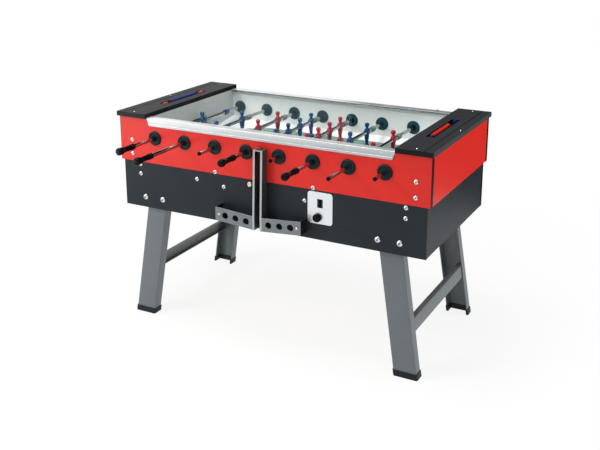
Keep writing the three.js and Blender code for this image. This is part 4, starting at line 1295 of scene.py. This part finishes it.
MAN_LEVELS = (
    # height, depth, width, squareness, groove, forward
    (42.0, 3.0, 3.0, 2.0, 0, 0.3), (41.6, 8.6, 8.2, 2.0, 0, 0.3), (40.4, 13.6, 13.0, 2.0, 0, 0.3),
    (38.4, 17.4, 16.6, 2.0, 0, 0.3), (35.6, 20.0, 19.2, 2.0, 0, 0.2), (32.4, 20.8, 20.0, 2.0, 0, 0.1),
    (29.0, 20.0, 19.0, 2.0, 0, 0.1), (26.0, 17.6, 16.6, 2.0, 0, 0.3), (23.6, 14.4, 13.4, 2.0, 0, 0.2),
    (21.4, 11.6, 11.2, 2.0, 0, 0), (19.2, 11.0, 12.2, 2.0, 0, 0), (17.0, 12.4, 19.0, 2.1, 0, 0),
    (15.6, 15.2, 26.0, 2.3, 0, 0), (13.6, 17.6, 30.0, 2.5, 0, 0), (10.5, 19.6, 31.6, 2.7, 0, 0),
    (6.0, 21.6, 31.0, 2.8, 0, 0), (0.0, 23.0, 29.6, 2.8, 0, 0), (-6.0, 21.6, 28.2, 2.8, 0, 0),
    (-11.0, 19.0, 26.6, 2.7, 0, 0), (-12.4, 18.2, 26.4, 2.7, 0, 0), (-13.0, 17.2, 25.4, 2.7, 0, 0),
    (-14.4, 17.6, 26.2, 2.7, 0, 0), (-19.0, 17.6, 26.6, 2.6, 0.05, 0), (-25.0, 16.8, 26.0, 2.5, 0.16, 0),
    (-29.4, 16.0, 25.2, 2.4, 0.3, 0), (-30.2, 14.4, 23.0, 2.4, 0.34, 0), (-35.0, 13.8, 21.6, 2.3, 0.38, 0),
    (-41.0, 12.8, 19.6, 2.2, 0.4, 0), (-46.0, 12.8, 19.0, 2.2, 0.4, 0), (-51.0, 12.2, 18.2, 2.3, 0.3, 0),
    (-54.6, 12.8, 18.6, 2.5, 0.12, 0), (-56.4, 15.6, 20.4, 3.0, 0, 0), (-57.8, 20.6, 22.8, 3.6, 0, 0),
    (-59.2, 22.8, 24.4, 4.2, 0, 0), (-61.0, 23.8, 25.0, 4.6, 0, 0), (-64.0, 23.8, 25.0, 5.0, 0, 0),
    (-64.6, 23.2, 24.4, 5.0, 0, 0), (-65.4, 23.2, 24.4, 5.0, 0, 0), (-66.0, 23.8, 25.0, 5.0, 0, 0),
    (-70.4, 23.8, 25.0, 5.0, 0, 0), (-71.6, 22.8, 24.2, 4.6, 0, 0), (-72.0, 20.4, 22.0, 4.0, 0, 0),
)
ARM_LEVELS = (
    # diameter, height
    (3.0, 14.6), (5.8, 13.4), (7.6, 10.0), (7.8, 4.0), (7.2, -2.0), (6.2, -8.0), (6.4, -11.5), (6.0, -14.6),
    (3.0, -16.4),
)
HANDLE = [
    # radius, distance from the outer end: a bulb, a slim waist and a collar next to the rod
    (2.0, 0.0), (7.4, 0.1), (8.6, 1.1), (9.8, 1.1), (12.0, 1.6), (14.2, 3.8), (15.4, 7.4), (15.8, 11.6),
    (15.5, 16.6), (14.6, 22.6), (13.2, 29.6), (11.8, 37.0), (11.0, 45.0), (10.7, 53.0), (10.9, 61.0),
    (11.3, 69.0), (11.5, 76.0), (11.2, 79.6), (11.6, 81.4), (12.7, 82.8), (13.0, 85.0), (13.0, 89.4),
    (12.3, 91.0), (11.8, 92.4), (12.3, 93.8), (12.8, 95.2), (12.8, 99.6), (12.0, 101.6), (10.4, 102.4),
    (8.4, 102.4),
]


def man_ring(height, depth, width, square, groove, forward, sides=36):
    """One level of a man: a rounded box section, with a groove down its middle for the legs."""
    ring, groove_width = [], 1.9
    for k in range(sides):
        a = 2 * math.pi * (k + 0.5) / sides
        c, s = math.cos(a), math.sin(a)
        scale = (abs(c) ** square + abs(s) ** square) ** (-1 / square)
        x, y = depth / 2 * c * scale, width / 2 * s * scale
        x *= 1 - groove * math.exp(-(y / groove_width) ** 2)
        ring.append(((x + forward) * MM, y * MM, height * MM))
    return ring


def arm_ring(side, size, height):
    """One level of an arm, which hangs a little forward and inward."""
    out = side * (13.0 - max(0, -height) * 0.02) * MM
    forward = 1.4 * MM if height < -6 else 0.0
    return [(x + forward, y + out, height * MM) for x, y in circle(0, 0, size / 2 * MM, 14)]


class TABLE_OT_rods(bpy.types.Operator):
    """Builds the eight rods with their men, stops, plugs, bushes and grips"""
    bl_idname = "foosball.rods"
    bl_label = "Rods and men"

    def execute(self, context):
        sizes = context.scene.table_sizes
        spacing = {1: 0.0, 2: sizes.spacing_two, 3: sizes.spacing_three, 5: sizes.spacing_five}
        man = self.man()
        for rod in RODS:
            near_team = rod.side < 0
            plastic, slot = (blue_plastic, "blue_men") if near_team else (red_plastic, "red_men")
            self.shaft(rod, slot, sizes.rod_radius / MM)
            first = rod.offset - (rod.men - 1) / 2 * spacing[rod.men]
            mesh = row_of(man, rod.men, (rod.x, first, rod.z), (0, spacing[rod.men], 0), plastic,
                          (0, 0, 0 if near_team else math.pi))
            fitted(mesh, rod.name + "_men", body=rod.body, slot=slot, crease=42)
            self.stops(rod, plastic if rod.men == 1 else stop_rubber, sizes)
            self.grip(rod)
            self.bush(rod, sizes)
        bpy.data.objects.remove(man)
        return {"FINISHED"}

    def shaft(self, rod, slot, radius):
        """The tube and the plug that closes its plain end."""
        span, plug = (rod.high.y - rod.low.y) / MM, 9
        inside, plain = (rod.low.y, rod.high.y) if rod.side < 0 else (rod.high.y, rod.low.y)
        shape = bmesh.new()
        turned(shape, [(radius - 0.5, 0), (radius, 0.5), (radius, span - plug), (radius - 0.4, span - plug + 0.4)],
               32, rod.x, rod.z, inside, -rod.side)
        made(shape, rod.name + "_tube", [chromed_steel], body=rod.body, stands_for=rod.name, slot=slot,
             crease=40)
        dome = [(radius, plug - 0.3), (radius, 3), (radius * 0.93, 1.8), (radius * 0.75, 0.8),
                (radius * 0.45, 0.15), (radius * 0.12, 0)]
        shape = bmesh.new()
        turned(shape, dome, 32, rod.x, rod.z, plain, rod.side)
        made(shape, rod.name + "_plug", [bush_nylon], body=rod.body, slot="black_grip", crease=40)

    def stops(self, rod, recipe, sizes):
        """Two stops with a shallow waist between rounded rims."""
        half, radius, bore = sizes.stop_length / 2, sizes.stop_radius / MM, sizes.rod_radius / MM + 0.05
        face = min(abs(rod.bush_low.y), abs(rod.bush_high.y)) - 1 * MM
        rim = [(bore, 0), (radius - 1.5, 0), (radius - 0.4, 0.5), (radius, 1.6), (radius, 5), (radius - 1.1, 6.4)]
        shape = bmesh.new()
        for side in (-1, 1):
            centre = rod.offset + side * (face - half - rod.travel)
            turned(shape, both_ends(rim, 2 * half / MM), 36, rod.x, rod.z, centre - half, looped=True)
        made(shape, rod.name + "_stops", [recipe], body=rod.body, slot="black_grip", crease=35)

    def grip(self, rod):
        end = rod.grip_low.y if rod.side < 0 else rod.grip_high.y
        shape = bmesh.new()
        turned(shape, HANDLE, 40, rod.x, rod.z, end, -rod.side)
        made(shape, rod.name + "_handle", [grip_resin], body=rod.body, stands_for=rod.name + "_grip",
             slot="black_grip", crease=38)

    def bush(self, rod, sizes):
        bore, radius = sizes.rod_radius / MM + 0.2, sizes.bush_radius / MM
        rim = [(bore, 0.8), (bore + 0.8, 0), (radius - 0.8, 0), (radius, 0.8)]
        shape = bmesh.new()
        turned(shape, both_ends(rim, (rod.bush_high.y - rod.bush_low.y) / MM), 36, rod.x, rod.z,
               rod.bush_low.y, looped=True)
        made(shape, rod.name + "_bush_ring", [bush_nylon], body=rod.name + "_turning",
             stands_for=rod.name + "_bush", slot="nylon", crease=30)

    def man(self):
        """A moulded man: head, trunk with arms at its sides, legs and a block of a boot, on a clamped hub."""
        shape = bmesh.new()
        skin(shape, [man_ring(*level) for level in MAN_LEVELS])
        for side in (-1, 1):
            skin(shape, [arm_ring(side, size, height) for size, height in ARM_LEVELS])
        turned(shape, both_ends([(9.6, 0), (11.0, 1.2)], 31.2), 28, start=-15.6 * MM)
        return pattern(shape, "man")


# ---------------------------------------------------------------- fasteners

class TABLE_OT_fasteners(bpy.types.Operator):
    """Sets the bolts and screws on the boards, rails, guard and legs"""
    bl_idname = "foosball.fasteners"
    bl_label = "Bolts and screws"

    def execute(self, context):
        sizes = context.scene.table_sizes
        near, far, up = (0, -1, 0), (0, 1, 0), (0, 0, 1)
        both = ((-1, near), (1, far))
        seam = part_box("upper_front_panel")[0].z
        box_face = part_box("upper_back_panel")[1].y - sizes.bearing_proud

        # x and height over the seam between box and base, in millimetres
        at = [(-648, 32), (-648, 93), (648, 32), (648, 93), (-226, 7), (226, 7), (-611, -13), (-611, -55),
              (611, -13), (611, -55), (-187, -52.5), (187, -52.5)]
        bolts = [((x * MM, side * (box_face if rise > 0 else base_face()), seam + rise * MM), way)
                 for side, way in both for x, rise in at]
        bolts.append(((-319 * MM, -base_face(), seam - 38 * MM), near))
        leg_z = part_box("lower_front_panel")[0].z + 46.5 * MM
        leg_bolts = [((x * MM, side * base_face(), leg_z), way)
                     for side, way in both for x in (-590, -500, 500, 590)]
        for master, ending, recipe in ((round_head(), "s", zinc_plate), (hexagon_socket(), "_sockets", socket_shade)):
            heads("board_bolt" + ending, master, bolts, sizes.bolt_head, recipe, "grey_steel")
            heads("leg_bolt" + ending, master, leg_bolts, sizes.leg_bolt_head, recipe, "grey_steel")
            bpy.data.objects.remove(master)

        rail_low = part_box("front_glass_rail")[0]
        rail_screws = [((x * MM, side * (-rail_low.y - 0.9 * MM), rail_low.z + 21 * MM), way)
                       for side, way in both for x in (-516, -175, 171, 510)]
        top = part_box("left_top_board")[1].z - 1.6 * MM
        top_screws = [((side * x * MM, y * MM, top), up) for side in (-1, 1)
                      for x, y in ((641, -338), (641, 338), (697, -3))]
        guard_screws = [((x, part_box("guard_bar")[0].y, guard_screw_height()), near)
                        for x in (-GUARD_SCREW_X, GUARD_SCREW_X)]
        cross = cross_head()
        for name, places, size, slot in (("rail_screws", rail_screws, 1.0, "aluminium_rail"),
                                         ("top_board_screws", top_screws, 1.2, "top_board"),
                                         ("guard_screws", guard_screws, 1.5, "hammered_steel")):
            heads(name, cross, places, sizes.screw_head * size, zinc_plate, slot)
        bpy.data.objects.remove(cross)
        return {"FINISHED"}


# ---------------------------------------------------------------- stage

LAMPS = (
    # name, place, target, size, power
    ("key", (-2.5, -2.8, 3.3), (0, 0, 0.7), 1.5, 42),
    ("small_key", (-2.4, -2.8, 3.2), (0, 0, 0.7), 0.3, 22),
    ("low_left", (-2.3, -2.2, 0.7), (-0.5, -0.35, 0.7), 1.2, 15),
    ("side", (4.2, 1.1, 0.75), (0.5, 0, 0.7), 1.3, 66),
    ("top", (-0.5, -0.6, 4.4), (0, 0, 0.7), 1.6, 94),
)
DARK_CARDS = (
    # name, start, end, top, foot
    ("dark_card_behind", (-0.5, 1.6), (2.3, 1.3), 1.8, 0.1),
    ("dark_card_above", (-2.0, 1.7), (1.6, 1.7), 3.6, 1.8),
    ("dark_card_right", (2.2, 1.3), (2.6, -2.4), 1.6, 0.0),
    ("dark_card_front", (-0.6, -4.6), (3.6, -3.6), 4.4, 2.3),
)


def studio_felt():
    # Black studio felt: no sheen at all, so nothing bright comes back from it.
    return mottled("Black studio felt", (linear("#0A0A0B"), linear("#131314")), cloud=(4, 3), sheen=1.0,
                   inputs={"Specular IOR Level": 0.0})


def seen(tree):
    """1 for what the camera, a reflection or a look through glass sees."""
    path = add(tree, "ShaderNodeLightPath")
    direct = add(tree, "ShaderNodeMath", {0: path.outputs["Is Camera Ray"], 1: path.outputs["Is Glossy Ray"]},
                 operation="MAXIMUM")
    return add(tree, "ShaderNodeMath", {0: direct.outputs[0], 1: path.outputs["Is Transmission Ray"]},
               operation="MAXIMUM").outputs[0]


def studio_paper():
    # Matt studio paper: white to the eye, and it keeps a soft shadow under the legs.
    finish, tree, place = new_finish("White studio paper")
    tooth = add(tree, "ShaderNodeTexNoise", {"Vector": place, "Scale": 1 / (2 * MM), "Detail": 2})
    pulp = add(tree, "ShaderNodeBump", {"Height": tooth, "Distance": 0.05 * MM, "Strength": 0.2})
    paper = add(tree, "ShaderNodeBsdfPrincipled", {
        "Base Color": linear("#F4F4F4"), "Roughness": 0.9, "Normal": pulp})
    glow = add(tree, "ShaderNodeEmission", {"Color": (1, 1, 1, 1), "Strength": 1.0})
    away = add(tree, "ShaderNodeVectorMath", {0: place}, operation="LENGTH")
    open_floor = add(tree, "ShaderNodeMapRange", {
        "Value": away.outputs["Value"], "From Min": 0.8, "From Max": 2.4, "To Min": 0.86, "To Max": 1.0})
    share = add(tree, "ShaderNodeMath", {0: seen(tree), 1: open_floor}, operation="MULTIPLY")
    both = add(tree, "ShaderNodeMixShader", {0: share, 1: paper, 2: glow})
    add(tree, "ShaderNodeOutputMaterial", {"Surface": both})
    return finish


def staged(name, corners, recipe):
    """A flat sheet of the studio, which isn't part of the table."""
    mesh = bpy.data.meshes.new(name)
    mesh.from_pydata(corners, [], [(0, 1, 2, 3)])
    mesh.materials.append(finish_of(recipe))
    sheet = shown(name, mesh)
    return sheet


class TABLE_OT_stage(bpy.types.Operator):
    """Sets the pale floor, the soft studio lamps and the camera"""
    bl_idname = "foosball.stage"
    bl_label = "Stage"

    def execute(self, context):
        reach = 30
        staged("studio_floor", [(x, y, 0) for x, y in rectangle(-reach, reach, -reach, reach)], studio_paper)
        # Upright dark cards that only reflections show, so glossy faces keep their depth.
        for name, (x0, y0), (x1, y1), top, foot in DARK_CARDS:
            card = staged(name, [(x0, y0, foot), (x1, y1, foot), (x1, y1, top), (x0, y0, top)], studio_felt)
            for rays in ("camera", "diffuse", "transmission", "volume_scatter", "shadow"):
                setattr(card, "visible_" + rays, False)
        for name, place, target, size, power in LAMPS:
            light = bpy.data.lights.new(name, "AREA")
            light.shape = "SQUARE"
            light.size = size
            light.energy = power
            lamp = shown(name, light)
            lamp.location = place
            lamp.visible_camera = False
            lamp.rotation_euler = (Vector(target) - Vector(place)).to_track_quat("-Z", "Y").to_euler()
        context.scene.world = self.world()
        context.scene.camera = self.camera()
        context.scene.view_settings.view_transform = "Standard"
        return {"FINISHED"}

    def world(self):
        world = bpy.data.worlds.new("studio")
        world.use_nodes = True
        tree = world.node_tree
        tree.nodes.clear()
        strength = add(tree, "ShaderNodeMapRange", {"Value": seen(tree), "To Min": 0.55, "To Max": 1.0})
        sky = add(tree, "ShaderNodeBackground", {"Color": (1, 1, 1, 1), "Strength": strength})
        add(tree, "ShaderNodeOutputWorld", {"Surface": sky})
        return world

    def camera(self):
        view = bpy.data.cameras.new("camera")
        view.lens = 53.07
        view.sensor_width = 36
        view.shift_y = -0.15
        camera = shown("camera", view)
        camera.location = (1.710, -3.272, 1.786)
        camera.rotation_euler = (math.radians(90 - 14.62), 0, math.radians(27.84))
        return camera


# ---------------------------------------------------------------- panel

OPERATORS = (
    TABLE_OT_stage, TABLE_OT_playing_box, TABLE_OT_bearings, TABLE_OT_glass, TABLE_OT_top_boards, TABLE_OT_base,
    TABLE_OT_legs, TABLE_OT_guard, TABLE_OT_coin_unit, TABLE_OT_counters, TABLE_OT_rods, TABLE_OT_fasteners,
)


class TABLE_PT_sidebar(bpy.types.Panel):
    """Lists the sizes, the colours and the pieces of the table"""
    bl_idname = "TABLE_PT_sidebar"
    bl_label = "Foosball table"
    bl_space_type = "VIEW_3D"
    bl_region_type = "UI"
    bl_category = "Foosball table"

    def draw(self, context):
        for title, group in (("Sizes", context.scene.table_sizes), ("Colours", context.scene.table_colours)):
            column = self.layout.column(align=True)
            column.label(text=title)
            for name in group.__annotations__:
                column.prop(group, name)
        column = self.layout.column(align=True)
        for operator in OPERATORS:
            column.operator(operator.bl_idname)


CLASSES = (TableSizes, TableColours, *OPERATORS, TABLE_PT_sidebar)


def register():
    for cls in CLASSES:
        bpy.utils.register_class(cls)
    bpy.types.Scene.table_sizes = PointerProperty(type=TableSizes)
    bpy.types.Scene.table_colours = PointerProperty(type=TableColours)


def unregister():
    del bpy.types.Scene.table_colours
    del bpy.types.Scene.table_sizes
    for cls in reversed(CLASSES):
        bpy.utils.unregister_class(cls)


def main():
    register()
    bpy.ops.foosball.stage()
    bpy.ops.foosball.playing_box()
    bpy.ops.foosball.bearings()
    bpy.ops.foosball.glass()
    bpy.ops.foosball.top_boards()
    bpy.ops.foosball.base()
    bpy.ops.foosball.legs()
    bpy.ops.foosball.guard()
    bpy.ops.foosball.coin_unit()
    bpy.ops.foosball.counters()
    bpy.ops.foosball.rods()
    bpy.ops.foosball.fasteners()


if __name__ == "__main__":
    main()
